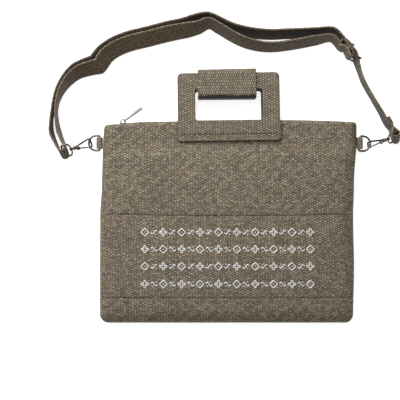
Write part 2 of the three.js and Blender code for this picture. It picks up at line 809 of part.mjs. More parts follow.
function eye(name) {
  const half = eyeHalfWidth();
  const nearSide = hookLength + eyeBoss / 2;
  const near = Array.from({ length: 9 }, (_, i) => {
    const turn = degToRad(lerp(-90, 90, i / 8));
    const x = nearSide + eyeShoulder * (1 - Math.cos(turn));
    return new THREE.Vector3(x, half * Math.sin(turn), 0);
  });
  const far = { x: hookReach - eyeCorner, y: half - eyeCorner };
  const path = [
    ...near,
    ...arc(far, eyeCorner, 90, 0, 3),
    ...arc({ x: far.x, y: -far.y }, eyeCorner, 0, -90, 3),
  ];
  const ringWireSolid = wire(path, upright, eyeWire, { closed: true, sides: 6 });
  const boss = new THREE.SphereGeometry(eyeBoss / 2, 10, 6).translate(nearSide + gap, 0, 0);
  const pin = cylinder(swivelPin, hookLength - collarLength + swivelEnd, nearSide, 10);
  return mesh(name, join([ringWireSolid, boss, pin]), finishes.metal);
}

function hookGroup(side) {
  const place = fittings[side];
  const { claw, along, across, width } = hookFrame(place);
  const placed = (piece, second) => {
    const third = along.clone().cross(second);
    const matrix = new THREE.Matrix4().makeBasis(along, second, third).setPosition(claw);
    matrix.decompose(piece.position, piece.quaternion, piece.scale);
    return piece;
  };
  return [
    tab(`tab_${side}`, place),
    ring(`d_ring_${side}`, place),
    placed(hook(`hook_${side}`), across),
    placed(gate(`gate_${side}`), across),
    placed(eye(`eye_${side}`), width),
  ];
}

// Strap

// Places the strap's middle over its foot: it stands on its lower edge and leans outwards
function stationsOf(rows, offsetOf) {
  const feet = rows.map((row) => new THREE.Vector3(row.x * halfWidth, row.y * halfHeight, 0));
  return rows.map((row, i) => {
    const before = feet[Math.max(0, i - 1)];
    const after = feet[Math.min(rows.length - 1, i + 1)];
    const out = upright.clone().cross(after.clone().sub(before)).normalize();
    const lean = degToRad(row.lean);
    const side = (Math.sin(lean) * strapWidth + Math.cos(lean) * strapThickness) / 2;
    const height = (Math.cos(lean) * strapWidth + Math.sin(lean) * strapThickness) / 2;
    const middle = feet[i].clone().addScaledVector(out, side + offsetOf(row, Math.cos(lean)));
    middle.z = restClearance + height;
    const width = out.multiplyScalar(Math.sin(lean)).addScaledVector(upright, Math.cos(lean));
    return { middle, width };
  });
}

function loopRound({ eyeBar, along, out, width }) {
  const steps = 8;
  return Array.from({ length: steps + 1 }, (_, i) => {
    const turn = (Math.PI * i) / steps;
    const middle = eyeBar
      .clone()
      .addScaledVector(along, -loopRadius * Math.cos(turn))
      .addScaledVector(out, -loopRadius * Math.sin(turn));
    return { middle, width };
  });
}

function slideFrame() {
  const heading = degToRad(slidePlace.heading);
  const lean = degToRad(slidePlace.lean);
  const along = new THREE.Vector3(Math.cos(heading), Math.sin(heading), 0);
  const side = upright.clone().cross(along).normalize();
  const width = side.clone().multiplyScalar(Math.sin(lean)).addScaledVector(upright, Math.cos(lean));
  const out = side.clone().multiplyScalar(Math.cos(lean)).addScaledVector(upright, -Math.sin(lean));
  const half = slideHalfWidth();
  const height = restClearance + (half + slideWire / 2) * Math.cos(lean) + slideBow() * Math.sin(lean);
  const middle = new THREE.Vector3(slidePlace.x * halfWidth, slidePlace.y * halfHeight, height);
  return { middle, along, out, width };
}

function slideHalfWidth() {
  return strapWidth / 2 + slideClearance + slideWire / 2;
}

// Places across the slide, outwards from its middle bar: each layer of strap lies on the one before
function slideLayers() {
  const loop = slideWire / 2 + gap + strapThickness / 2;
  const pitch = strapThickness + gap;
  const flap = -loop + pitch;
  return { loop, flap, pitch, over: loop + pitch, under: flap + pitch };
}

function slideBow() {
  const { under } = slideLayers();
  return under + strapThickness / 2 + gap + slideWire / 2;
}

function strapSlide() {
  const reach = (slideLength - slideWire) / 2;
  const half = slideHalfWidth();
  const frame = slideFrame();
  const bow = slideBow();
  const place = (u, v, w) =>
    frame.middle
      .clone()
      .addScaledVector(frame.along, u)
      .addScaledVector(frame.out, v)
      .addScaledVector(frame.width, w);
  const bar = (from, to, normal) => wire([from, to], normal, slideWire, { sides: 6 });
  const ends = [-1, 1].map((side) =>
    bar(place(side * reach, bow, -half), place(side * reach, bow, half), frame.along),
  );
  const middleBar = bar(place(0, 0, -half), place(0, 0, half), frame.along);
  const rails = [-1, 1].map((side) => {
    const path = Array.from({ length: 9 }, (_, i) => {
      const share = lerp(-slideOverrun, slideOverrun, i / 8);
      return place(share * reach, bow * Math.min(1, Math.abs(share)) ** slideSweep, side * half);
    });
    return wire(path, frame.width, slideWire, { sides: 6 });
  });
  return mesh("strap_slide", join([...ends, middleBar, ...rails]), finishes.metal);
}

// Rows given from an eye's bar, as rows in shares of the bag's half width and half height
function besideEye(rows, { eyeBar }) {
  return rows.map((row) => ({
    ...row,
    x: (eyeBar.x + row.x * strapWidth) / halfWidth,
    y: (eyeBar.y + row.y * strapWidth) / halfHeight,
  }));
}

function strapStations() {
  const clear = (row, slope) => Math.max(row.apart * strapWidth, (strapThickness + gap) / slope);
  const [leftEye, rightEye] = [hookFrame(fittings.left), hookFrame(fittings.right)];
  const doubled = [...besideEye(leftApproach, leftEye), ...doubledRun];
  const inner = stationsOf(doubled, () => 0);
  const outer = stationsOf(doubled, clear);
  const single = stationsOf([...singleRun, ...besideEye(rightApproach, rightEye)], () => 0);
  const slide = slideFrame();
  const { loop, flap, over, under } = slideLayers();
  const reach = slideLength / 2;
  const onSlide = (u, v) => ({
    middle: slide.middle.clone().addScaledVector(slide.along, u).addScaledVector(slide.out, v),
    width: slide.width,
  });
  const sewnTurn = Array.from({ length: 7 }, (_, i) => {
    const turn = degToRad(lerp(90, -90, i / 6));
    return onSlide(loop * Math.cos(turn), loop * Math.sin(turn));
  });
  const sewnEnd = [onSlide(-strapFlap, flap), onSlide(-reach, flap), onSlide(-0.45 * reach, 0.65 * loop)];
  const rightTurn = loopRound(rightEye).reverse();
  const last = single.at(-1);
  const before = single.at(-2);
  const inside = before.middle.clone().sub(last.middle).normalize().cross(upright).normalize();
  const flapEnd = [0, 0.5].map((share) => {
    const middle = last.middle.clone().lerp(before.middle, share);
    return { middle: middle.addScaledVector(inside, strapThickness + gap), width: last.width };
  });
  return [
    ...sewnEnd,
    ...sewnTurn,
    onSlide(-reach, -loop),
    ...inner.reverse(),
    ...loopRound(leftEye),
    ...outer,
    onSlide(-1.5 * reach, under),
    onSlide(-0.9 * reach, under),
    onSlide(0, over),
    onSlide(0.9 * reach, under),
    ...single,
    ...rightTurn,
    ...flapEnd,
  ];
}

function shoulderStrap() {
  const keys = strapStations();
  const curve = new THREE.CatmullRomCurve3(keys.map((key) => key.middle), false, "centripetal");
  const stations = keys.flatMap((key, i) => {
    if (i === keys.length - 1) {
      return [key];
    }
    const next = keys[i + 1];
    const steps = Math.max(1, Math.ceil(key.middle.distanceTo(next.middle) / strapStep));
    return Array.from({ length: steps }, (_, k) => ({
      middle: curve.getPoint((i + k / steps) / (keys.length - 1)),
      width: key.width.clone().lerp(next.width, k / steps).normalize(),
    }));
  });
  const rings = stations.map(({ middle, width }, i) => {
    const before = stations[Math.max(0, i - 1)].middle;
    const after = stations[Math.min(stations.length - 1, i + 1)].middle;
    const tangent = after.clone().sub(before).normalize();
    const thick = tangent.clone().cross(width).normalize();
    const wide = thick.clone().cross(tangent).normalize();
    const corners = [[1, 1], [1, -1], [-1, -1], [-1, 1]].map(([w, t]) =>
      middle
        .clone()
        .addScaledVector(wide, (w * strapWidth) / 2)
        .addScaledVector(thick, (t * strapThickness) / 2),
    );
    const lift = restClearance - Math.min(...corners.map((corner) => corner.z));
    return lift > 0 ? corners.map((corner) => corner.addScaledVector(upright, lift)) : corners;
  });
  return mesh("shoulder_strap", loft(rings), finishes.strap);
}

const bag = new THREE.Group();
bag.add(
  ...frontPanels(),
  mesh("back_panel", dish(backHeight), finishes.leather),
  ...zip(),
  sliderGroup(),
  handle("front_handle", frontHandleBottom),
  handle("back_handle", backHandleBottom),
  handleWrap(),
  ...hookGroup("left"),
  ...hookGroup("right"),
  shoulderStrap(),
  strapSlide(),
);

export default bag;
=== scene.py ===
"""Looks of a flat zip-top shawl bag: woven-grain leather panels, frame handles in a wrapped grip,
a zip, snap hooks and a long shoulder strap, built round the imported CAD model."""

import logging
import math
from dataclasses import dataclass, field
from enum import Enum
from typing import Callable, Optional, Sequence

import bmesh
import bpy
import numpy as np
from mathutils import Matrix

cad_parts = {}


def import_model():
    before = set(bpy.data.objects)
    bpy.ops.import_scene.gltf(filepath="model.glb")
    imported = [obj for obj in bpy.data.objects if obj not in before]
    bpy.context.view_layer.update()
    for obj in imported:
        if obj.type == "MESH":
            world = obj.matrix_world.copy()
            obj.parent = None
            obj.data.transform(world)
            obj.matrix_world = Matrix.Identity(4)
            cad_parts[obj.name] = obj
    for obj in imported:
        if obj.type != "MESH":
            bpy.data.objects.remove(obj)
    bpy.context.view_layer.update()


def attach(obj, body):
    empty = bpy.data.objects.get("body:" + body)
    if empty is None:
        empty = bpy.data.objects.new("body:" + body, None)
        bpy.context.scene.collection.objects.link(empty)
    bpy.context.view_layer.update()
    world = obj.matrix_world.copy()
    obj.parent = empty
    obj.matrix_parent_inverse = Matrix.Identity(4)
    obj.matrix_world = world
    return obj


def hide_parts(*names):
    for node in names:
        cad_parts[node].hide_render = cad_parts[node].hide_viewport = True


Array = np.ndarray
Socket = bpy.types.NodeSocket
Colour = tuple[float, float, float]
MM = 0.001
PER_METRE = 1000.0
TAU = 2.0 * math.pi
UP = np.array([0.0, 0.0, 1.0])
# Degrees between two faces above which their edge stays sharp
CREASE = 50.0
METAL_CREASE = 40.0
log = logging.getLogger("bag")


# Curves and tables


def ease(low: float, high: float, at: Array) -> Array:
    """Smooth step from 0 below low to 1 above high: s*s*(3-2s)."""
    share = np.clip((np.asarray(at, float) - low) / (high - low), 0.0, 1.0)
    return share * share * (3.0 - 2.0 * share)


def read_table(places: Array, values: Array, at: Array) -> Array:
    """Value of a table between its rows, each span eased with a smooth step.

    Args:
        places: rising places of the rows.
        values: value of each row.
        at: places to read.

    Returns:
        One value for each place asked for.
    """
    places, values, at = (np.asarray(part, float) for part in (places, values, at))
    row = np.clip(np.searchsorted(places, at) - 1, 0, len(places) - 2)
    share = ease(0.0, 1.0, (at - places[row]) / (places[row + 1] - places[row]))
    return values[row] + (values[row + 1] - values[row]) * share


def bell(at: Array, width: float) -> Array:
    """Bell curve exp(-(at/width)^2)."""
    return np.exp(-((np.asarray(at, float) / width) ** 2))


def unit(vectors: Array) -> Array:
    """Vectors of length one along the last axis."""
    size = np.linalg.norm(vectors, axis=-1, keepdims=True)
    return vectors / np.maximum(size, 1e-12)


def arc_lengths(points: Array, closed: bool = False) -> Array:
    """Length along a line of points, from 0 at its first and, if closed, back to it."""
    if closed:
        points = np.concatenate([points, points[:1]])
    steps = np.linalg.norm(np.diff(points, axis=0), axis=1)
    return np.concatenate([[0.0], np.cumsum(steps)])


def directions(points: Array, closed: bool = False) -> Array:
    """Unit direction of a line at each of its points."""
    if closed:
        return unit(np.roll(points, -1, axis=0) - np.roll(points, 1, axis=0))
    return unit(np.gradient(points, axis=0))


def squarer(wave: Array, power: float) -> Array:
    """A wave raised to a power with its sign kept; below 1 it makes a circle squarer."""
    return np.sign(wave) * np.abs(wave) ** power


def round_turns(count: int) -> Array:
    """Angles of evenly spaced points round a circle."""
    return np.arange(count) * TAU / count


def polar(x: Array | float, y: Array | float, reach: Array | float, turn: Array) -> Array:
    """Level points at a reach and an angle from a middle."""
    return np.stack([x + reach * np.cos(turn), y + reach * np.sin(turn)], axis=-1)


def level_axes(turn: float) -> Array:
    """Unit rows of a frame turned about Z, in radians: along, across and up."""
    return np.array([[math.cos(turn), math.sin(turn), 0.0], [-math.sin(turn), math.cos(turn), 0.0], UP])


def arc(x: float, y: float, radius: float, start: float, end: float, steps: int) -> Array:
    """Points of a circle arc in the plane z = 0, angles in degrees.

    Args:
        x, y: middle of the circle.
        radius: its radius.
        start, end: angles of the ends.
        steps: spans between them.

    Returns:
        Array of steps + 1 points.
    """
    turn = np.radians(np.linspace(start, end, steps + 1))
    return np.concatenate([polar(x, y, radius, turn), np.zeros((steps + 1, 1))], axis=1)


def evenly(points: Array, spacing: float, values: Array) -> Array:
    """Values along a line, read at even steps.

    Args:
        points: line of points.
        spacing: wanted distance between the readings.
        values: (points, 3), the points themselves or what belongs to each of them.

    Returns:
        The readings, from the line's first point to its last.
    """
    along = arc_lengths(points)
    at = np.linspace(0.0, along[-1], max(2, int(round(along[-1] / spacing)) + 1))
    return np.stack([np.interp(at, along, values[:, k]) for k in range(3)], axis=-1)


def rounded_contour(width: float, height: float, radius: float, arc_steps: int, edge_steps: int) -> Array:
    """Rounded rectangle round the origin, counter-clockwise from its lower right corner.

    Four quarter circles joined by straight edges, each with the same number of points, so that two
    such contours can be joined point by point.

    Args:
        width, height: outer sizes.
        radius: corner radius.
        arc_steps: spans in a corner.
        edge_steps: spans in an edge.

    Returns:
        Array (points, 2).
    """
    x, y = width / 2.0 - radius, height / 2.0 - radius
    middles = [(x, -y, -90.0), (x, y, 0.0), (-x, y, 90.0), (-x, -y, 180.0)]
    arcs = [arc(cx, cy, radius, turn, turn + 90.0, arc_steps)[:, :2] for cx, cy, turn in middles]
    parts = []
    for i, corner in enumerate(arcs):
        share = (np.arange(1, edge_steps) / edge_steps)[:, None]
        parts += [corner, corner[-1] + (arcs[(i + 1) % 4][0] - corner[-1]) * share]
    return np.concatenate(parts)


# Meshes


@dataclass
class Patch:
    """Part of a mesh: points in millimetres, four-cornered faces and their UVs in metres."""

    points: Array
    faces: Array
    uvs: Array


def uv_grid(along: Array, around: Array) -> Array:
    """UVs in metres over a grid, from its lengths both ways in millimetres."""
    return np.stack(np.meshgrid(along, around, indexing="ij"), axis=-1) * MM


def grid_patch(
    points: Array, uv: Optional[Array] = None, close_u: bool = False, close_v: bool = False
) -> Patch:
    """Surface over a grid: face (i, j) joins rows i, i+1 and columns j, j+1, round the seam if closed.

    Args:
        points: (rows, columns, 3) in millimetres.
        uv: (rows + close_u, columns + close_v, 2) in metres.
        close_u: the last row joins the first.
        close_v: the last column joins the first.

    Returns:
        The patch.
    """
    rows, columns = points.shape[:2]
    u, v = np.meshgrid(np.arange(rows - 1 + close_u), np.arange(columns - 1 + close_v), indexing="ij")
    if uv is None:
        uv = uv_grid(np.arange(rows + 1), np.arange(columns + 1))
    corners = [(u, v), (u + 1, v), (u + 1, v + 1), (u, v + 1)]
    faces = np.stack([(a % rows) * columns + b % columns for a, b in corners], axis=-1)
    uvs = np.stack([uv[a, b] for a, b in corners], axis=-2)
    return Patch(points.reshape(-1, 3), faces.reshape(-1, 4), uvs.reshape(-1, 4, 2))


def repeated(shape: Array, placed: Array) -> Patch:
    """Many copies of one small closed bar.

    Args:
        shape: (rings, sides, 3), the bar.
        placed: (copies, rings * sides, 3), the points of each copy.

    Returns:
        All copies as one patch.
    """
    template = grid_patch(shape, close_v=True)
    shift = (np.arange(len(placed)) * placed.shape[1])[:, None, None]
    faces = (template.faces[None] + shift).reshape(-1, 4)
    return Patch(placed.reshape(-1, 3), faces, np.tile(template.uvs, (len(placed), 1, 1)))


def capped(rings: Array) -> Array:
    """Rings of points with a pole in the middle of the first and of the last one added."""
    poles = [end.mean(axis=1, keepdims=True).repeat(rings.shape[1], 1) for end in (rings[:1], rings[-1:])]
    return np.concatenate([poles[0], rings, poles[1]])


def joined(patches: Sequence[Patch]) -> Patch:
    """One patch that holds all of them."""
    offsets = np.cumsum([0] + [len(patch.points) for patch in patches[:-1]])
    return Patch(
        np.concatenate([patch.points for patch in patches]),
        np.concatenate([patch.faces + shift for patch, shift in zip(patches, offsets)]),
        np.concatenate([patch.uvs for patch in patches]),
    )


def mesh_object(
    name: str, patch: Patch, outward: Optional[Array] = None, crease: float = CREASE
) -> bpy.types.Object:
    """Object of a patch, its doubles merged and its faces turned outwards.

    Args:
        name: name of the piece.
        patch: the surface.
        outward: for an open surface, the direction that most of its faces look to.
        crease: edges sharper than this angle stay sharp, in degrees.

    Returns:
        The new object, at the origin.
    """
    mesh = bpy.data.meshes.new(name)
    mesh.from_pydata((patch.points * MM).tolist(), [], patch.faces.tolist())
    layer = mesh.uv_layers.new(name="UVMap")
    layer.data.foreach_set("uv", patch.uvs.astype(np.float32).ravel())
    work = bmesh.new()
    work.from_mesh(mesh)
    bmesh.ops.remove_doubles(work, verts=work.verts, dist=2e-6)
    bmesh.ops.recalc_face_normals(work, faces=work.faces)
    if outward is not None:
        facing = sum(face.normal.dot(outward.tolist()) * face.calc_area() for face in work.faces)
        if facing < 0.0:
            bmesh.ops.reverse_faces(work, faces=work.faces)
    work.to_mesh(mesh)
    work.free()
    finish_mesh(mesh, crease)
    obj = bpy.data.objects.new(name, mesh)
    bpy.context.scene.collection.objects.link(obj)
    return obj


def finish_mesh(mesh: bpy.types.Mesh, crease: float) -> None:
    """Smooth shading, with edges over the crease angle kept sharp."""
    mesh.polygons.foreach_set("use_smooth", np.ones(len(mesh.polygons), bool))
    mesh.set_sharp_from_angle(angle=math.radians(crease))
    mesh.update()


def gathered(items: bpy.types.bpy_prop_collection, key: str, width: int = 1, kind: type = np.float32) -> Array:
    """One property of all items at once, an array row for each if it has more parts than one."""
    values = np.empty(len(items) * width, kind)
    items.foreach_get(key, values)
    return values.reshape(-1, width) if width > 1 else values


def move_points(mesh: bpy.types.Mesh, change: Callable[[Array], None]) -> None:
    """Lets a function change all points of a mesh at once, as rows in millimetres."""
    points = gathered(mesh.vertices, "co", 3).astype(float) / MM
    change(points)
    mesh.vertices.foreach_set("co", (points * MM).astype(np.float32).ravel())
    finish_mesh(mesh, CREASE)


def tube(path: Array, normal: Array, radius: Array | float, closed: bool = False, sides: int = 16) -> Patch:
    """Round wire: a circle carried along a flat path, in the plane across the path's direction.

    Args:
        path: (points, 3).
        normal: normal of the plane that the path lies in.
        radius: one radius, or one for each point.
        closed: the path's end joins its start.
        sides: points of the circle.

    Returns:
        The patch, its open ends drawn together to poles.
    """
    side = unit(np.cross(directions(path, closed), normal))
    radius = np.broadcast_to(np.asarray(radius, float), (len(path),))
    if not closed:
        path, side, radius = (np.concatenate([part[:1], part, part[-1:]]) for part in (path, side, radius))
        radius[[0, -1]] = 0.0
    turn = round_turns(sides)[None, :, None]
    ring = np.cos(turn) * side[:, None] + np.sin(turn) * normal
    points = path[:, None] + ring * radius[:, None, None]
    around = np.linspace(0.0, TAU * float(radius.max()), sides + 1)
    return grid_patch(points, uv_grid(arc_lengths(path, closed), around), close_u=closed, close_v=True)


def turned(profile: Array, axis: Array, side: Array, start: Array, sides: int = 32) -> Patch:
    """Turned body: a profile of (place along, radius) spun round an axis.

    Args:
        profile: (points, 2).
        axis: unit direction of the axis.
        side: a unit direction across it.
        start: point on the axis where the place is 0.
        sides: points round it.

    Returns:
        The patch; a radius of 0 closes it.
    """
    turn = round_turns(sides)[None, :, None]
    ring = np.cos(turn) * side + np.sin(turn) * np.cross(axis, side)
    points = start + profile[:, None, :1] * axis + profile[:, None, 1:] * ring
    return grid_patch(points, close_v=True)


def pillow(middle: Array, axes: Array, sizes: Sequence[float], power: float = 5.0, steps: int = 20) -> Patch:
    """Block with soft edges: a ball whose sines and cosines are raised to 2/power, scaled to its sizes.

    Args:
        middle: its middle.
        axes: three unit rows.
        sizes: full size along each axis.
        power: 2 gives a ball, more gives a squarer block.
        steps: spans from pole to pole.

    Returns:
        The closed patch.
    """
    rise = np.linspace(-math.pi / 2, math.pi / 2, steps + 1)[:, None]
    turn = round_turns(2 * steps)[None, :]
    waves = (np.cos(rise), np.sin(rise), np.cos(turn), np.sin(turn))
    cos_rise, sin_rise, cos_turn, sin_turn = (squarer(wave, 2.0 / power) for wave in waves)
    ball = np.stack([cos_rise * cos_turn, cos_rise * sin_turn, sin_rise * np.ones_like(turn)], axis=-1)
    return grid_patch(middle + (ball * np.asarray(sizes) / 2.0) @ axes, close_v=True)


@dataclass
class Sleeve:
    """Closed wall between an outer and an inner contour, carried along the third direction.

    Its section runs up the outer side, over a rounded edge, across the end, and back down the inner
    side, so the whole surface is a ring round the opening.
    """

    outer: Array
    inner: Array
    half_length: float
    edge: float
    side_steps: int = 2
    face_steps: int = 10

    def section(self) -> tuple[Array, Array]:
        """Section of the wall, once round it.

        Returns:
            Rows of the share of the way from inner (0) to outer (1) and the inset there, and heights.
        """
        turn = np.radians(np.linspace(0.0, 90.0, 5))
        top = self.half_length
        rise = np.linspace(self.edge - top, top - self.edge, self.side_steps + 1)[1:-1]
        across = np.linspace(0.0, 1.0, self.face_steps + 1)[1:-1]
        one, none = np.ones_like(turn), np.zeros_like(turn)
        inset, up = self.edge * (1.0 - np.cos(turn)), top - self.edge + self.edge * np.sin(turn)
        level = np.full_like(across, top)
        rows = [
            (np.ones_like(rise), 0.0 * rise, rise),
            (one, inset, up),
            (1.0 - across, 0.0 * across, level),
            (none, -inset[::-1], up[::-1]),
            (0.0 * rise, 0.0 * rise, rise[::-1]),
            (none, -inset, -up),
            (across, 0.0 * across, -level),
            (one, inset[::-1], -up[::-1]),
        ]
        share, inset, height = (np.concatenate([row[k] for row in rows]) for k in range(3))
        return np.stack([share, inset], axis=-1), height

    def patch(self, basis: Array, origin: Array, flat_uv: bool) -> Patch:
        """Surface of the sleeve.

        Args:
            basis: three unit rows: the contour's two directions and the direction of its length.
            origin: place of the contour's origin.
            flat_uv: the grain runs across the flat ends, otherwise along the length and round.

        Returns:
            The closed patch.
        """
        rows, height = self.section()
        wall = np.linalg.norm(self.outer - self.inner, axis=1)[:, None]
        share, rim = rows[None, :, 0], self.edge / wall
        at_edge = np.clip(share - rows[None, :, 1] / wall, 0.0, 1.0)
        middle = np.where((share > 0.0) & (share < 1.0), rim + (1.0 - 2.0 * rim) * share, at_edge)
        flat = self.inner[:, None] + (self.outer - self.inner)[:, None] * middle[..., None]
        local = np.concatenate([flat, np.broadcast_to(height, flat.shape[:2])[..., None]], axis=-1)
        if flat_uv:
            drop = (self.half_length - np.abs(height)) * np.sign(rows[:, 0] - 0.5)
            uv = flat + unit(self.outer - self.inner)[:, None] * drop[None, :, None]
            uv = np.concatenate([uv, uv[:1]], axis=0)
            uv = np.concatenate([uv, uv[:, :1]], axis=1) * MM
        else:
            fall = np.cumsum(np.hypot(np.diff(height), np.diff(rows[:, 0] * wall.mean())))
            uv = uv_grid(arc_lengths(self.outer, True), np.concatenate([[0.0], fall, fall[-1:] + 1.0]))
        return grid_patch(local @ basis + origin, uv, close_u=True, close_v=True)


@dataclass(frozen=True)
class Stitch:
    """Sizes of the stitches in a row, in millimetres."""

    pitch: float
    length: float
    thick: float


SEAM_STITCH = Stitch(3.6, 2.7, 0.75)
# The plate's stitches are thick, to carry the painted shade of their groove.
PLATE_STITCH = Stitch(3.6, 2.6, 1.9)
HANDLE_STITCH = Stitch(3.6, 2.6, 0.55)
TAB_STITCH = Stitch(2.6, 1.9, 0.6)
STRAP_STITCH = Stitch(3.8, 2.7, 0.5)


def stitches(points: Array, normals: Array, stitch: Stitch) -> Patch:
    """Row of thread stitches along a line, each a short rounded bar half sunk in the surface.

    Args:
        points: line on the surface.
        normals: surface normal at each of its points.
        stitch: sizes of the stitches.

    Returns:
        All stitches as one patch.
    """
    centre = evenly(points, stitch.pitch, points)
    normal = unit(evenly(points, stitch.pitch, normals))
    direction = directions(centre)
    place = np.array([-0.5, -0.42, -0.2, 0.2, 0.42, 0.5])
    girth = np.array([0.0, 0.6, 1.0, 1.0, 0.6, 0.0])
    sink = np.array([-0.35, -0.2, 0.12, 0.12, -0.2, -0.35])
    turn = round_turns(5)
    bar = np.stack(
        [
            np.outer(place * stitch.length, np.ones(5)),
            np.outer(girth, np.cos(turn)) * stitch.thick / 2.0,
            (np.outer(girth, np.sin(turn)) / 2.0 + sink[:, None]) * stitch.thick,
        ],
        axis=-1,
    )
    frames = np.stack([direction, unit(np.cross(normal, direction)), normal], axis=1)
    return repeated(bar, centre[:, None] + bar.reshape(-1, 3) @ frames)


# Material graphs


# Sockets of the colour mix node: share, first colour, second colour, and its result
MIX_INPUTS = (0, 6, 7)
MIX_RESULT = 2


class Graph:
    """Short hand for the nodes of a material or a node group."""

    def __init__(self, tree: bpy.types.NodeTree) -> None:
        """Starts with the tree's own nodes."""
        self.tree = tree

    def node(self, kind: str, **settings: object) -> bpy.types.Node:
        """New node of a kind, its settings filled in."""
        made = self.tree.nodes.new(kind)
        for key, value in settings.items():
            setattr(made, key, value)
        return made

    def feed(self, target: Socket, source: object) -> None:
        """Links a socket to the target, or writes the value into it."""
        if isinstance(source, bpy.types.NodeSocket):
            self.tree.links.new(source, target)
        else:
            target.default_value = source

    def fill(self, node: bpy.types.Node, **values: object) -> bpy.types.Node:
        """Feeds a node's inputs by name; an underscore stands for a space."""
        for key, value in values.items():
            self.feed(node.inputs[key.replace("_", " ")], value)
        return node

    def result(self, node: bpy.types.Node, *values: object) -> Socket:
        """First output of a node whose inputs are fed in order."""
        for socket, value in zip(node.inputs, values):
            self.feed(socket, value)
        return node.outputs[0]

    def math(self, operation: str, *values: object) -> Socket:
        """Math node."""
        return self.result(self.node("ShaderNodeMath", operation=operation), *values)

    def plus(self, first: object, second: object) -> Socket:
        """Sum of two values."""
        return self.math("ADD", first, second)

    def times(self, first: object, second: object) -> Socket:
        """Product of two values."""
        return self.math("MULTIPLY", first, second)

    def parity(self, whole: Socket) -> Socket:
        """0 for an even whole number and 1 for an odd one."""
        return self.math("MODULO", self.math("ABSOLUTE", whole), 2.0)

    def vector(self, operation: str, *values: object) -> Socket:
        """Vector math node."""
        return self.result(self.node("ShaderNodeVectorMath", operation=operation), *values)

    def scaled(self, vector: Socket, factor: object) -> Socket:
        """Vector times a number."""
        made = self.fill(self.node("ShaderNodeVectorMath", operation="SCALE"), Scale=factor)
        return self.result(made, vector)

    def ramp(self, value: object, low: float, high: float, to_low: float = 0.0, to_high: float = 1.0) -> Socket:
        """Smooth step of a value from one range to another."""
        made = self.node("ShaderNodeMapRange", interpolation_type="SMOOTHSTEP")
        return self.result(made, value, low, high, to_low, to_high)

    def mix(self, share: object, first: object, second: object, blend: str = "MIX") -> Socket:
        """Colour mix of sockets or of plain colours."""
        made = self.node("ShaderNodeMix", data_type="RGBA", blend_type=blend)
        for index, value in zip(MIX_INPUTS, (share, first, second)):
            self.feed(made.inputs[index], (*value, 1.0) if isinstance(value, tuple) else value)
        return made.outputs[MIX_RESULT]

    def noise(self, vector: Socket, scale: object, detail: float = 2.0, rough: float = 0.5) -> Socket:
        """Noise value of a vector."""
        made = self.node("ShaderNodeTexNoise")
        return self.fill(made, Vector=vector, Scale=scale, Detail=detail, Roughness=rough).outputs[0]

    def drift(self, vector: Socket, scale: float, amount: Socket, reach: float) -> Socket:
        """The vector shifted by a noise of its own place, up to half the reach each way."""
        made = self.fill(self.node("ShaderNodeTexNoise"), Vector=vector, Scale=scale, Detail=1.0)
        shift = self.vector("SUBTRACT", made.outputs["Color"], (0.5, 0.5, 0.5))
        return self.vector("ADD", vector, self.scaled(shift, self.times(amount, reach)))

    def split(self, vector: Socket) -> tuple[Socket, ...]:
        """The three parts of a vector."""
        made = self.node("ShaderNodeSeparateXYZ")
        self.feed(made.inputs[0], vector)
        return tuple(made.outputs)

    def bump(self, height: Socket, strength: float, distance: float) -> Socket:
        """Normal of a height, whose full size is the distance in metres."""
        made = self.node("ShaderNodeBump")
        return self.fill(made, Height=height, Strength=strength, Distance=distance).outputs[0]

    def uv_place(self) -> Socket:
        """The piece's own UV map as a vector."""
        return self.node("ShaderNodeUVMap", uv_map="UVMap").outputs[0]

    def object_place(self) -> Socket:
        """Place in the piece's own space."""
        return self.node("ShaderNodeTexCoord").outputs["Object"]

    def group(self, tree: bpy.types.NodeTree, **values: object) -> bpy.types.bpy_prop_collection:
        """Outputs of a group node with some of its inputs fed."""
        return self.fill(self.node("ShaderNodeGroup", node_tree=tree), **values).outputs


def new_group(
    name: str, inputs: dict[str, Optional[float]], *outputs: str
) -> tuple[bpy.types.NodeTree, Graph, dict]:
    """Empty shader group with named sockets.

    Args:
        name: name of the group.
        inputs: default of each input; None makes it a vector socket.
        outputs: names of its outputs, all of them values.

    Returns:
        The tree, its graph and its input sockets by name.
    """
    tree = bpy.data.node_groups.new(name, "ShaderNodeTree")
    for key, value in inputs.items():
        kind = "NodeSocketVector" if value is None else "NodeSocketFloat"
        socket = tree.interface.new_socket(name=key, in_out="INPUT", socket_type=kind)
        if value is not None:
            socket.default_value = value
    for key in outputs:
        tree.interface.new_socket(name=key, in_out="OUTPUT", socket_type="NodeSocketFloat")
    graph = Graph(tree)
    entry = graph.node("NodeGroupInput")
    return tree, graph, {key: entry.outputs[key] for key in inputs}


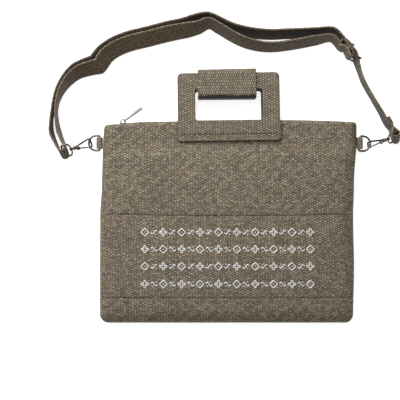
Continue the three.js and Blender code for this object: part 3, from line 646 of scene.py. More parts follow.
class Groups:
    """Node groups shared by the materials, each built once."""

    def __init__(self) -> None:
        """Builds the groups."""
        self.weave = self.build_weave()
        self.grime = self.build_grime()
        self.satin = self.build_satin()

    @staticmethod
    def build_weave() -> bpy.types.NodeTree:
        """Embossed weave: staggered floats in ribs, with thread noise and slanting ripples.

        Ribs run along V. In each rib floats follow at the float pitch, every other rib moved by half
        a pitch; a float's height falls off with the squared distance from its middle. Its tone is a
        random number of its rib and place, weighed by Chance, and a little lighter on every other float.

        Returns:
            The group with outputs Height, Tone and Ripple.
        """
        tree, g, ins = new_group(
            "weave",
            {"Vector": None, "Rib": 3.75, "Float": 3.2, "Wander": 1.0, "Slant": 1.0, "Chance": 1.0},
            "Height", "Tone", "Ripple",
        )
        place = g.scaled(ins["Vector"], PER_METRE)
        x, y, _ = g.split(g.drift(g.drift(place, 0.1, ins["Wander"], 9.0), 0.42, ins["Wander"], 2.6))
        rib = g.math("DIVIDE", x, ins["Rib"])
        column = g.math("FLOOR", rib)
        step = g.plus(g.math("DIVIDE", y, ins["Float"]), g.times(g.parity(column), 0.5))
        row = g.math("FLOOR", step)
        across, along = (g.math("SUBTRACT", g.math("FRACT", part), 0.5) for part in (rib, step))
        far = g.plus(g.times(g.times(across, across), 1.7), g.times(g.times(along, along), 4.2))
        bulge = g.ramp(far, 0.05, 1.0, 1.0, 0.0)
        cell = g.result(g.node("ShaderNodeCombineXYZ"), column, row)
        dice = g.fill(g.node("ShaderNodeTexWhiteNoise", noise_dimensions="2D"), Vector=cell).outputs["Value"]
        thread = g.noise(g.vector("MULTIPLY", place, (1.9, 0.8, 1.0)), 1.0)
        speck = g.noise(place, 0.75, 1.0)
        plain_x, plain_y, _ = g.split(place)
        over, up = g.times(plain_x, 0.31), g.times(plain_y, 0.35)
        slant, counter = (g.math("SINE", part) for part in (g.math("SUBTRACT", up, over), g.plus(up, over)))
        wave = g.plus(g.times(slant, 0.2), g.times(counter, 0.1))
        luck = g.plus(g.times(dice, 0.42), g.times(speck, 0.98))
        tone = g.plus(g.times(g.math("SUBTRACT", luck, 0.7), ins["Chance"]), 0.62)
        g.fill(
            g.node("NodeGroupOutput"),
            Height=g.plus(g.times(bulge, 0.8), g.times(thread, 0.2)),
            Tone=g.plus(tone, g.times(g.parity(g.plus(column, row)), 0.1)),
            Ripple=g.times(wave, ins["Slant"]),
        )
        return tree

    @staticmethod
    def build_grime() -> bpy.types.NodeTree:
        """Soft blotches of handling and dust, from two noises at hand and finger scale."""
        tree, g, ins = new_group("handling", {"Vector": None, "Size": 18.0}, "Mask")
        broad = g.noise(ins["Vector"], ins["Size"], 3.0, 0.55)
        fine = g.noise(ins["Vector"], g.times(ins["Size"], 7.0), 2.0, 0.6)
        mask = g.plus(g.times(broad, 0.7), g.times(fine, 0.3))
        g.fill(g.node("NodeGroupOutput"), Mask=g.ramp(mask, 0.32, 0.68))
        return tree

    @staticmethod
    def build_satin() -> bpy.types.NodeTree:
        """Fine strands: stripes of one thread's width along V, broken by noise."""
        tree, g, ins = new_group("strands", {"Vector": None, "Pitch": 0.35}, "Height")
        place = g.scaled(ins["Vector"], PER_METRE)
        stripe = g.math("DIVIDE", g.times(g.split(place)[0], TAU), ins["Pitch"])
        wave = g.math("SINE", g.plus(stripe, g.times(g.noise(place, 0.9), 1.2)))
        g.fill(g.node("NodeGroupOutput"), Height=g.plus(g.times(wave, 0.5), 0.5))
        return tree


class Grain(Enum):
    """How strong the slanting ripples of a woven finish are."""

    RIPPLED = 1.0
    PLAIN = 0.0
    FAINT = 0.35


def base_material(name: str) -> tuple[bpy.types.Material, Graph, bpy.types.Node]:
    """Material with an empty Principled shader."""
    material = bpy.data.materials.new(name)
    material.use_nodes = True
    return material, Graph(material.node_tree), material.node_tree.nodes["Principled BSDF"]


def toned(colour: Colour, factor: float) -> Colour:
    """A colour made lighter or darker."""
    return tuple(factor * part for part in colour)


@dataclass(frozen=True)
class WovenLeather:
    """Embossed leather that looks like cloth: dark hollows, light floats, tinted specks."""

    name: str
    hollow: Colour = (0.05, 0.038, 0.023)
    body: Colour = (0.14, 0.111, 0.074)
    crest: Colour = (0.36, 0.305, 0.23)
    rib: float = 3.75
    float_pitch: float = 3.2
    grain: Grain = Grain.PLAIN
    wander: float = 0.6
    chance: float = 1.3
    relief: float = 0.35
    roughness: float = 0.62

    def build(self, groups: Groups) -> bpy.types.Material:
        """Material of this leather.

        Args:
            groups: shared node groups.

        Returns:
            The material.
        """
        material, g, shader = base_material(self.name)
        uv = g.uv_place()
        weave = g.group(
            groups.weave, Vector=uv, Rib=self.rib, Float=self.float_pitch, Slant=self.grain.value,
            Wander=self.wander, Chance=self.chance,
        )
        height, tone, ripple = weave["Height"], weave["Tone"], weave["Ripple"]
        grime = g.group(groups.grime, Vector=uv)["Mask"]
        tint = g.fill(g.node("ShaderNodeTexNoise"), Vector=uv, Scale=210.0).outputs["Color"]
        level = g.plus(g.plus(g.times(height, 0.85), g.times(tone, 0.5)), g.times(ripple, 0.2))
        colour = g.mix(g.ramp(level, 0.34, 0.84), self.hollow, self.body)
        colour = g.mix(g.ramp(level, 0.84, 1.3), colour, self.crest)
        colour = g.mix(0.12, colour, tint, "OVERLAY")
        g.fill(
            shader,
            Base_Color=g.mix(g.times(grime, 0.08), colour, self.hollow),
            Roughness=g.ramp(height, 0.0, 1.0, self.roughness + 0.14, self.roughness),
            Normal=g.bump(g.plus(height, g.times(ripple, 0.5)), self.relief, 0.0006),
            Sheen_Weight=0.04,
            Specular_IOR_Level=0.3,
        )
        return material


@dataclass(frozen=True)
class DarkNickel:
    """Polished dark nickel with faint hairlines and handling marks."""

    name: str
    colour: Colour = (0.125, 0.104, 0.09)
    roughness: float = 0.24

    def build(self, groups: Groups) -> bpy.types.Material:
        """Material of this metal."""
        material, g, shader = base_material(self.name)
        place = g.object_place()
        grime = g.group(groups.grime, Vector=place, Size=160.0)["Mask"]
        hair = g.noise(g.vector("MULTIPLY", place, (900.0, 5200.0, 2600.0)), 1.0)
        g.fill(
            shader,
            Base_Color=g.mix(g.times(grime, 0.35), self.colour, toned(self.colour, 0.62)),
            Metallic=1.0,
            Roughness=g.ramp(grime, 0.0, 1.0, self.roughness, self.roughness + 0.1),
            Normal=g.bump(hair, 0.05, 0.00005),
        )
        return material


@dataclass(frozen=True)
class Thread:
    """Sewing or embroidery thread: twisted strands with a soft sheen."""

    name: str
    colour: Colour
    shade: Colour
    metallic: float = 0.0
    roughness: float = 0.5
    pitch: float = 0.35

    def build(self, groups: Groups) -> bpy.types.Material:
        """Material of this thread."""
        material, g, shader = base_material(self.name)
        height = g.group(groups.satin, Vector=g.uv_place(), Pitch=self.pitch)["Height"]
        g.fill(
            shader,
            Base_Color=g.mix(height, self.shade, self.colour),
            Roughness=g.ramp(height, 0.0, 1.0, self.roughness + 0.12, self.roughness),
            Metallic=self.metallic,
            Normal=g.bump(height, 0.3, 0.0001),
        )
        return material


@dataclass(frozen=True)
class ZipTape:
    """Woven zip tape: herringbone of fine dark yarn."""

    name: str
    colour: Colour = (0.075, 0.062, 0.045)

    def build(self, groups: Groups) -> bpy.types.Material:
        """Material of the tape."""
        material, g, shader = base_material(self.name)
        weave = g.group(groups.weave, Vector=g.uv_place(), Rib=0.7, Float=1.1, Wander=0.05, Slant=0.0)
        g.fill(
            shader,
            Base_Color=g.mix(weave["Height"], self.colour, toned(self.colour, 1.9)),
            Roughness=g.ramp(weave["Tone"], 0.0, 1.0, 0.75, 0.95),
            Normal=g.bump(weave["Height"], 0.4, 0.0002),
        )
        return material


@dataclass(frozen=True)
class CoilPlastic:
    """Moulded coil of the zip: dark satin plastic."""

    name: str
    colour: Colour = (0.085, 0.07, 0.05)

    def build(self, groups: Groups) -> bpy.types.Material:
        """Material of the coil."""
        material, g, shader = base_material(self.name)
        grime = g.group(groups.grime, Vector=g.object_place(), Size=300.0)["Mask"]
        g.fill(
            shader,
            Base_Color=g.mix(grime, self.colour, toned(self.colour, 1.6)),
            Roughness=g.ramp(grime, 0.0, 1.0, 0.32, 0.48),
        )
        return material


@dataclass
class Finishes:
    """The bag's materials, each built once."""

    groups: Groups = field(default_factory=Groups)

    def __post_init__(self) -> None:
        """Builds the materials."""
        strap_weave = {"rib": 3.3, "float_pitch": 3.0, "wander": 0.1}
        self.rippled = self.leather("rippled", grain=Grain.RIPPLED)
        self.plain = self.leather("band")
        # Painted light: the lower panel a little lighter than the others, offsetting the lamps' falloff towards
        # the bottom.
        self.lower = self.leather("lower", body=(0.143, 0.113, 0.078), grain=Grain.RIPPLED)
        self.back = self.leather("back", grain=Grain.FAINT)
        self.handle = self.leather("handle", rib=3.9, wander=0.25, chance=0.95)
        self.grip = self.leather("grip", rib=4.0, wander=0.25, chance=0.9)
        # Painted shade: strap leather darker than the panels' own tone, for the shade on the strap's faces.
        self.strap = self.leather(
            "strap", hollow=(0.018, 0.012, 0.006), body=(0.068, 0.048, 0.026), crest=(0.23, 0.17, 0.103),
            chance=0.6, relief=0.5, **strap_weave,
        )
        # Painted highlight: the strap's narrow sides in the panels' lighter tone, as lit edges against its
        # shaded faces.
        self.strap_edge_highlight = self.leather(
            "strap_edge_highlight", hollow=(0.055, 0.039, 0.022), body=(0.142, 0.106, 0.064), crest=(0.37, 0.295, 0.2),
            wander=0.1,
        )
        # Painted shade: near-black leather for one broad face of the strap along its whole length, the shadow
        # between its two layers.
        self.strap_face_shade = self.leather(
            "strap_face_shade", hollow=(0.01, 0.0075, 0.005), body=(0.03, 0.023, 0.016), crest=(0.09, 0.07, 0.05),
            chance=0.4, **strap_weave,
        )
        # Painted shade: near-black leather for the handle frames' side walls and the grip's underside, where
        # shadow falls.
        self.edge = self.leather(
            "edge", hollow=(0.009, 0.0065, 0.004), body=(0.022, 0.016, 0.011), crest=(0.05, 0.038, 0.026),
            relief=0.1,
        )
        self.metal = DarkNickel("dark_nickel").build(self.groups)
        self.pull = DarkNickel("bright_nickel", (0.27, 0.23, 0.21), 0.32).build(self.groups)
        self.sewing = Thread("sewing_thread", (0.2, 0.165, 0.12), (0.07, 0.055, 0.04)).build(self.groups)
        # Near-black thread: painted shade of the stitch groove on the handle plates.
        self.painted_shade_sewing = Thread("painted_shade_thread", (0.03, 0.024, 0.017), (0.01, 0.008, 0.006)).build(self.groups)
        self.silver = Thread(
            "silver_thread", (0.86, 0.85, 0.83), (0.5, 0.49, 0.47), metallic=0.25, roughness=0.3, pitch=0.45
        ).build(self.groups)
        self.tape = ZipTape("zip_tape").build(self.groups)
        self.coil = CoilPlastic("zip_coil").build(self.groups)

    def leather(self, name: str, **looks: object) -> bpy.types.Material:
        """Woven leather of the given looks."""
        return WovenLeather(f"leather_{name}", **looks).build(self.groups)


def dress(
    obj: bpy.types.Object, material: bpy.types.Material, body: str, slot: str, *nodes: str
) -> bpy.types.Object:
    """Gives a piece its material and body, and hides the nodes that it stands for.

    Args:
        obj: the piece.
        material: its finish.
        body: CAD body that it rides on.
        slot: not used.
        nodes: CAD nodes that it replaces.

    Returns:
        The piece.
    """
    obj.data.materials.clear()
    obj.data.materials.append(material)
    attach(obj, body)
    if nodes:
        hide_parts(*nodes)
    log.info("%s: %d faces on %s", obj.name, len(obj.data.polygons), body)
    return obj


def metal_piece(
    finishes: Finishes, name: str, patches: Sequence[Patch], node: str, body: str = "bag"
) -> bpy.types.Object:
    """Dressed piece of dark metal."""
    return dress(mesh_object(name, joined(patches), crease=METAL_CREASE), finishes.metal, body, "metal", node)


def sewn_piece(name: str, rows: Sequence[Patch], thread: bpy.types.Material, slot: str = "leather") -> None:
    """Dressed rows of stitches on the bag's own body."""
    dress(mesh_object(name, joined(rows)), thread, "bag", slot)


def paint(obj: bpy.types.Object, material: bpy.types.Material, chosen: Callable[[Array, Array], Array]) -> None:
    """Gives some faces of a piece a further material.

    Args:
        obj: the piece, dressed.
        material: finish of those faces.
        chosen: says which faces, from their normals (n, 3) and the middles of their UVs (n, 2) in
            millimetres.
    """
    mesh = obj.data
    mesh.materials.append(material)
    starts, sizes, index = (
        gathered(mesh.polygons, key, 1, np.int32) for key in ("loop_start", "loop_total", "material_index")
    )
    uv = gathered(mesh.uv_layers[0].data, "uv", 2)
    middles = np.add.reduceat(uv, starts, axis=0) / sizes[:, None] / MM
    index[chosen(gathered(mesh.polygons, "normal", 3), middles)] = len(mesh.materials) - 1
    mesh.polygons.foreach_set("material_index", index)


# The bag's body


@dataclass
class BagForm:
    """Outline and height of the bag, the same as in the CAD, in millimetres."""

    half_width: float = 180.0
    half_height: float = 143.0
    wall: float = 2.4
    gap: float = 0.3
    seam_height: float = 12.5
    front_rise: float = 13.5
    crown_rise: float = 5.5
    crown_power: float = 2.4
    edge_roll: float = 22.0
    lip_roll: float = 7.0
    top_corner: float = 5.5
    bottom_corner: float = 12.0
    corner_growth: float = 0.6
    shelf_blend: float = 18.0
    shelf_depth: float = 34.0
    zip_taper: float = 30.0
    front_lip: float = 20.8
    back_lip: float = 10.2
    shelf_top: float = 23.7
    shelf_under: float = 7.3
    side_up: tuple[float, ...] = (-1.0, -0.45, 0.05, 0.4, 0.8, 1.0)
    side_left: tuple[float, ...] = (1.003, 1.003, 1.002, 0.988, 0.979, 0.969)
    side_right: tuple[float, ...] = (0.992, 1.0, 0.993, 1.0, 1.018, 1.021)
    top_across: tuple[float, ...] = (-1.0, -0.6, 0.0, 0.5, 1.0)
    top_up: tuple[float, ...] = (0.963, 0.989, 1.0, 1.004, 0.99)
    seams: tuple[float, float] = (0.073, -0.745)
    seam_depths: tuple[float, float] = (0.55, 0.25)
    seam_dip: float = 3.2
    seam_reach: float = 55.0

    def side_share(self, x: Array, y: Array) -> Array:
        """Half width at a height, as a share of the plain one, on the side that x is on."""
        up = np.asarray(y, float) / self.half_height
        left, right = (read_table(self.side_up, side, up) for side in (self.side_left, self.side_right))
        return np.where(np.asarray(x) < 0.0, left, right)

    def top_share(self, x: Array) -> Array:
        """Height of the top edge, as a share of the plain half height."""
        return read_table(self.top_across, self.top_up, np.asarray(x, float) / self.half_width)

    def top_edge(self, x: Array) -> Array:
        """Height of the top edge."""
        return self.half_height * self.top_share(x)

    def fit(self, x: Array, y: Array) -> tuple[Array, Array]:
        """Takes points of the plain outline to the bag's own: x times the side share, y times the top share."""
        across = x * self.side_share(x, y)
        return across, np.where(y > 0.0, y * self.top_share(x), y)

    def unfit(self, x: Array, y: Array) -> tuple[Array, Array]:
        """The plain point of a point on the bag, the same shares divided out."""
        plain_x = x / self.side_share(x, y)
        return plain_x, np.where(y > 0.0, y / self.top_share(plain_x), y)

    def shelf(self, x: Array, y: Array) -> Array:
        """How far a point belongs to the flat shelf behind the lips, 0 to 1."""
        low = self.half_height - self.shelf_depth
        return ease(low - self.shelf_blend, low, y) * ease(0.0, self.zip_taper, self.half_width - np.abs(x))

    def crown(self, x: Array, y: Array) -> Array:
        """Crown of the front: one less a power of the distance from the middle, both ways."""
        middle, reach = -self.shelf_depth / 2.0, self.half_height - self.shelf_depth / 2.0
        across = 1.0 - np.minimum(1.0, np.abs(x / self.half_width)) ** self.crown_power
        up = 1.0 - np.minimum(1.0, np.abs((y - middle) / reach)) ** self.crown_power
        return self.crown_rise * across * up

    def front_height(self, x: Array, y: Array, climb: Array) -> Array:
        """Height of the front's outside over a plain point, climbing from the seam by sines."""
        side = self.seam_height + self.gap / 2.0 + climb * self.front_rise
        top = self.front_lip + climb * (self.shelf_top - self.front_lip)
        share = self.shelf(x, y)
        return side + (top - side) * share + climb * self.crown(x, y)

    def back_height(self, x: Array, y: Array, climb: Array) -> Array:
        """Height of the back's outside over a plain point, falling from the seam by sines."""
        side = (self.seam_height - self.gap / 2.0) * (1.0 - climb)
        top = self.back_lip - climb * (self.back_lip - self.shelf_under)
        return side + (top - side) * self.shelf(x, y)

    def plain_rings(self, side: Array, top: Array, bottom: Array) -> Array:
        """Rounded rectangles inset at the sides, top and bottom, their corners growing inwards.

        Args:
            side, top, bottom: insets of each ring.

        Returns:
            Array (rings, points, 2), counter-clockwise from the lower right corner.
        """
        right, high, low = self.half_width - side, self.half_height - top, bottom - self.half_height
        limit = 0.8 * np.minimum(right, (high - low) / 2.0)
        radius_top = np.minimum(limit, self.top_corner + self.corner_growth * np.minimum(side, top))
        radius_low = np.minimum(limit, self.bottom_corner + self.corner_growth * bottom)
        corners = [
            (right - radius_low, low + radius_low, radius_low, -90.0),
            (right - radius_top, high - radius_top, radius_top, 0.0),
            (radius_top - right, high - radius_top, radius_top, 90.0),
            (radius_low - right, low + radius_low, radius_low, 180.0),
        ]
        arcs = [
            polar(x[:, None], y[:, None], radius[:, None], np.radians(np.linspace(start, start + 90.0, 11)))
            for x, y, radius, start in corners
        ]
        parts = []
        for i, steps in enumerate((72, 96, 72, 96)):
            share = ((1.0 - np.cos(math.pi * np.arange(1, steps) / steps)) / 2.0)[None, :, None]
            start, end = arcs[i][:, -1:], arcs[(i + 1) % 4][:, :1]
            parts += [arcs[i], start + (end - start) * share]
        return np.concatenate(parts, axis=1)

    def dish(self, height_at: Callable[[Array, Array, Array], Array]) -> Patch:
        """One half of the body: rings from the rim over the rolled edge to the middle.

        The inset of a ring on the roll is 1 - cos of its angle and its climb the sine; its UVs carry
        on outwards by the length of the curve, so the grain isn't stretched down the sides.

        Args:
            height_at: height over a plain point and climb.

        Returns:
            The open patch, its middle drawn to a pole.
        """
        turn = np.radians(np.linspace(0.0, 90.0, 19))
        share = np.linspace(0.0, 1.0, 57)[1:]

        def insets(roll: float, reach: float) -> Array:
            return np.concatenate([roll * (1.0 - np.cos(turn)), roll + (reach - roll) * share])

        side = insets(self.edge_roll, self.half_width)
        low, top = insets(self.edge_roll, self.half_height), insets(self.lip_roll, self.half_height)
        climb = np.concatenate([np.sin(turn), np.ones_like(share)])
        plain = self.plain_rings(side, top, low)
        x, y = plain[..., 0], plain[..., 1]
        points = np.stack([*self.fit(x, y), height_at(x, y, climb[:, None])], axis=-1)
        base = len(turn) - 1
        steps = np.linalg.norm(np.diff(points[: base + 1], axis=0), axis=-1)
        reach = np.concatenate([np.cumsum(steps[::-1], axis=0)[::-1], np.zeros((1, x.shape[1]))])
        outward = unit(points[0, :, :2] - points[base, :, :2])
        uv = points[..., :2].copy()
        uv[: base + 1] = points[base, :, :2] + outward * reach[..., None]
        return grid_patch(points, np.concatenate([uv, uv[:, :1]], axis=1) * MM, close_v=True)

    def seam_line(self, seam: int, x: Array) -> Array:
        """Height across the front of a seam: the upper one dips a little in the middle."""
        level = self.seams[seam] * self.half_height
        if seam == 0:
            level = level + self.sag(x, np.full_like(x, level))
        return np.broadcast_to(level, np.shape(x)).astype(float)

    def sag(self, x: Array, y: Array) -> Array:
        """Shift down of the front round the upper seam, most in its middle."""
        level = self.seams[0] * self.half_height
        across = 0.42 - (1.0 - (np.abs(x) / self.half_width) ** 2)
        return self.seam_dip * across * bell(y - level, self.seam_reach)

    def relief(self, x: Array, y: Array) -> Array:
        """Small soft relief of the front: seams pulled in, puckers beside them and slow waves.

        Args:
            x, y: points of the bag.

        Returns:
            Height to add, in millimetres.
        """
        total = np.zeros_like(x)
        for seam, depth in enumerate(self.seam_depths):
            away = y - self.seam_line(seam, x)
            total -= depth * (1.5 * bell(away, 1.7) + 0.7 * bell(away, 7.0))
            pucker = np.sin(x / 2.1 + 1.3 * np.sin(x / 17.0)) + 0.6 * np.sin(x / 3.7 + seam)
            total += 0.16 * pucker * bell(np.abs(away) - 5.0, 5.0)
        total += 0.45 * np.sin(x / 31.0 + y / 47.0) * np.sin(y / 23.0 - x / 90.0)
        total += 0.25 * np.sin(x / 13.0 - y / 19.0 + 1.0)
        plain_x, plain_y = self.unfit(x, y)
        rim = np.minimum(self.half_width - np.abs(plain_x), plain_y + self.half_height)
        return total * ease(0.0, 26.0, rim) * (1.0 - self.shelf(plain_x, plain_y))

    def front_surface(self, x: Array, y: Array) -> Array:
        """Height of the finished front over points away from its rolled edge."""
        plain_x, plain_y = self.unfit(x, y)
        inset = np.minimum(self.half_width - np.abs(plain_x), plain_y + self.half_height)
        inward = np.clip(inset / self.edge_roll, 0.0, 1.0)
        climb = np.sqrt(1.0 - (1.0 - inward) ** 2)
        return self.front_height(plain_x, plain_y, climb) + self.relief(x, y)

    def front_line(self, x: Array, y: Array) -> tuple[Array, Array]:
        """Points on the finished front and its normals there.

        Args:
            x, y: places.

        Returns:
            Points (n, 3) and unit normals (n, 3).
        """
        step = 0.4
        height = self.front_surface(x, y)
        slope_x = (self.front_surface(x + step, y) - self.front_surface(x - step, y)) / (2.0 * step)
        slope_y = (self.front_surface(x, y + step) - self.front_surface(x, y - step)) / (2.0 * step)
        return np.stack([x, y, height], axis=-1), unit(np.stack([-slope_x, -slope_y, np.ones_like(x)], axis=-1))


@dataclass
class Shell:
    """The sewn leather shell: three front panels and the back."""

    form: BagForm
    finishes: Finishes
    slit: float = 0.4
    # Distances from a seam's edge at which the panels get an extra row of edges, for its relief
    loops: tuple[float, ...] = (0.8, 1.6, 2.6, 4.2, 6.5, 9.5)
    stitch_offset: float = 2.9
    stitch_reach: float = 163.0

    def build(self) -> None:
        """Builds the panels, their seams and their topstitching."""
        level = [share * self.form.half_height for share in self.form.seams]
        front, half = self.form.dish(self.form.front_height), self.slit / 2.0
        bands = [
            ("upper_panel", level[0] + half, None, self.finishes.rippled, "front_upper_panel"),
            ("middle_panel", level[1] + half, level[0] - half, self.finishes.plain, "front_band_panel"),
            ("lower_panel", None, level[1] - half, self.finishes.lower, "front_lower_panel"),
        ]
        for name, low, high, material, node in bands:
            panel = mesh_object(name, front, outward=UP)
            self.cut(panel.data, low, high, level)
            move_points(panel.data, self.settle)
            self.thicken(panel)
            dress(panel, material, "bag", "leather", node)
        back = mesh_object("rear_panel", self.form.dish(self.form.back_height), outward=-UP)
        move_points(back.data, self.ease_back)
        self.thicken(back)
        dress(back, self.finishes.back, "bag", "leather", "back_panel")
        self.sew()

    def cut(
        self, mesh: bpy.types.Mesh, low: Optional[float], high: Optional[float], level: Sequence[float]
    ) -> None:
        """Cuts a panel out of the front and adds edges beside the seams.

        Args:
            mesh: the whole front.
            low, high: limits of the panel, or None at the bag's own edge.
            level: heights of the seams.
        """
        work = bmesh.new()
        work.from_mesh(mesh)

        def slice_at(y: float, **clear: bool) -> None:
            everything = [*work.verts, *work.edges, *work.faces]
            bmesh.ops.bisect_plane(
                work, geom=everything, dist=1e-7, plane_co=(0, y * MM, 0), plane_no=(0, 1, 0), **clear
            )

        if low is not None:
            slice_at(low, clear_inner=True)
        if high is not None:
            slice_at(high, clear_outer=True)
        for seam in level:
            for offset in self.loops:
                for side in (-1.0, 1.0):
                    slice_at(seam + side * (self.slit / 2.0 + offset))
        work.to_mesh(mesh)
        work.free()

    def settle(self, points: Array) -> None:
        """Bows the upper seam and adds the soft relief to points of the front."""
        x, y = points[:, 0], points[:, 1]
        y += self.form.sag(x, y) * ease(0.0, 30.0, self.form.half_width - np.abs(x))
        points[:, 2] += self.form.relief(x, y)

    def ease_back(self, points: Array) -> None:
        """Lifts the back in slow waves where it doesn't rest."""
        x, y, z = points.T
        wave = 0.5 + 0.5 * np.sin(x / 38.0 + 0.7 * np.sin(y / 41.0)) * np.sin(y / 33.0 + 0.4)
        z += 0.7 * wave * ease(0.0, 60.0, self.form.half_width - np.abs(x)) * (z < 1.0)

    def thicken(self, panel: bpy.types.Object) -> None:
        """Gives a panel the thickness of the leather and its inner backing, inwards."""
        wall = panel.modifiers.new("wall", "SOLIDIFY")
        wall.thickness = self.form.wall * MM
        wall.offset = -1.0

    def sew(self) -> None:
        """Topstitching under the upper seam and on both sides of the lower one."""
        rows = []
        x = np.linspace(-self.stitch_reach, self.stitch_reach, 400)
        for seam, side in ((0, -1.0), (1, -1.0), (1, 1.0)):
            line = self.form.front_line(x, self.form.seam_line(seam, x) + side * self.stitch_offset)
            rows.append(stitches(*line, SEAM_STITCH))
        sewn_piece("seam_stitches", rows, self.finishes.sewing)


@dataclass
class Ornament:
    """Four rows of silver embroidery: linked lozenges and curling leaves, in raised satin stitch."""

    form: BagForm
    finishes: Finishes
    rows: tuple[float, ...] = (-14.1, -37.9, -61.8, -86.7)
    left: float = -121.0
    right: float = 121.0
    count: int = 10
    half_height: float = 5.4
    width: float = 1.75
    rise: float = 0.75

    def build(self) -> None:
        """Builds every row as one piece of thread."""
        start = self.left + self.half_height
        pitch = (self.right - self.left - 2.0 * self.half_height) / (self.count - 1)
        strokes = []
        for level, y in enumerate(self.rows):
            for i in range(self.count):
                middle = start + pitch * i
                strokes += self.rosette(middle, y) if (i + level) % 2 else self.lozenge(middle, y)
                if i < self.count - 1:
                    strokes += self.leaf(middle + pitch / 2.0, y, -1.0 if level % 2 else 1.0)
        ribbon = joined([self.satin(line, closed) for line, closed in strokes])
        dress(mesh_object("silver_embroidery", ribbon, crease=80.0), self.finishes.silver, "bag", "leather")

    def lozenge(self, x: float, y: float) -> list[tuple[Array, bool]]:
        """Outline of a lozenge with a bead of thread in it."""
        turn = round_turns(48)
        reach = 1.0 / (np.abs(np.cos(turn)) + np.abs(np.sin(turn))) * 0.94 + 0.06
        bead = np.stack([x + np.linspace(-0.8, 0.8, 7), np.full(7, y)], axis=-1)
        return [(polar(x, y, self.half_height * reach, turn), True), (bead, False)]

    def rosette(self, x: float, y: float) -> list[tuple[Array, bool]]:
        """Flower of four petals: a circle whose radius swells four times."""
        turn = round_turns(64)
        return [(polar(x, y, self.half_height * (0.66 + 0.3 * np.cos(4.0 * turn)), turn), True)]

    def leaf(self, x: float, y: float, side: float) -> list[tuple[Array, bool]]:
        """Curling stem: one wave of a sine that fades at its ends, with two buds beside it."""
        share, bud = np.linspace(-1.0, 1.0, 25), np.linspace(-0.7, 0.7, 6)
        wave = side * 2.7 * np.sin(math.pi * share) * (1.0 - 0.25 * share**2)
        lines = [(x + 5.0 * share, y + wave)]
        lines += [(x - way * 2.4 + bud, y + way * side * 2.9 + 0.5 * bud) for way in (1.0, -1.0)]
        return [(np.stack(line, axis=-1), False) for line in lines]

    def satin(self, line: Array, closed: bool) -> Patch:
        """Raised ribbon along a line on the front: half an ellipse across, sunk under its edges.

        Args:
            line: (points, 2).
            closed: the line closes.

        Returns:
            The closed patch.
        """
        base, normal = self.form.front_line(line[:, 0], line[:, 1])
        side = unit(np.cross(normal, directions(base, closed)))
        ends = np.zeros(len(base)) if closed else np.linspace(-1.0, 1.0, len(base))
        girth = np.sqrt(np.clip(1.0 - np.abs(ends) ** 6, 0.0, 1.0))
        turn = round_turns(10)
        wide = girth[:, None] * np.cos(turn) * self.width / 2.0
        tall = girth[:, None] * np.where(np.sin(turn) > 0, self.rise, 0.3) * np.sin(turn)
        points = base[:, None] + wide[..., None] * side[:, None] + tall[..., None] * normal[:, None]
        uv = uv_grid(arc_lengths(base, closed), np.arange(11) * 0.5)
        return grid_patch(points, uv, close_u=closed, close_v=True)


# Zip


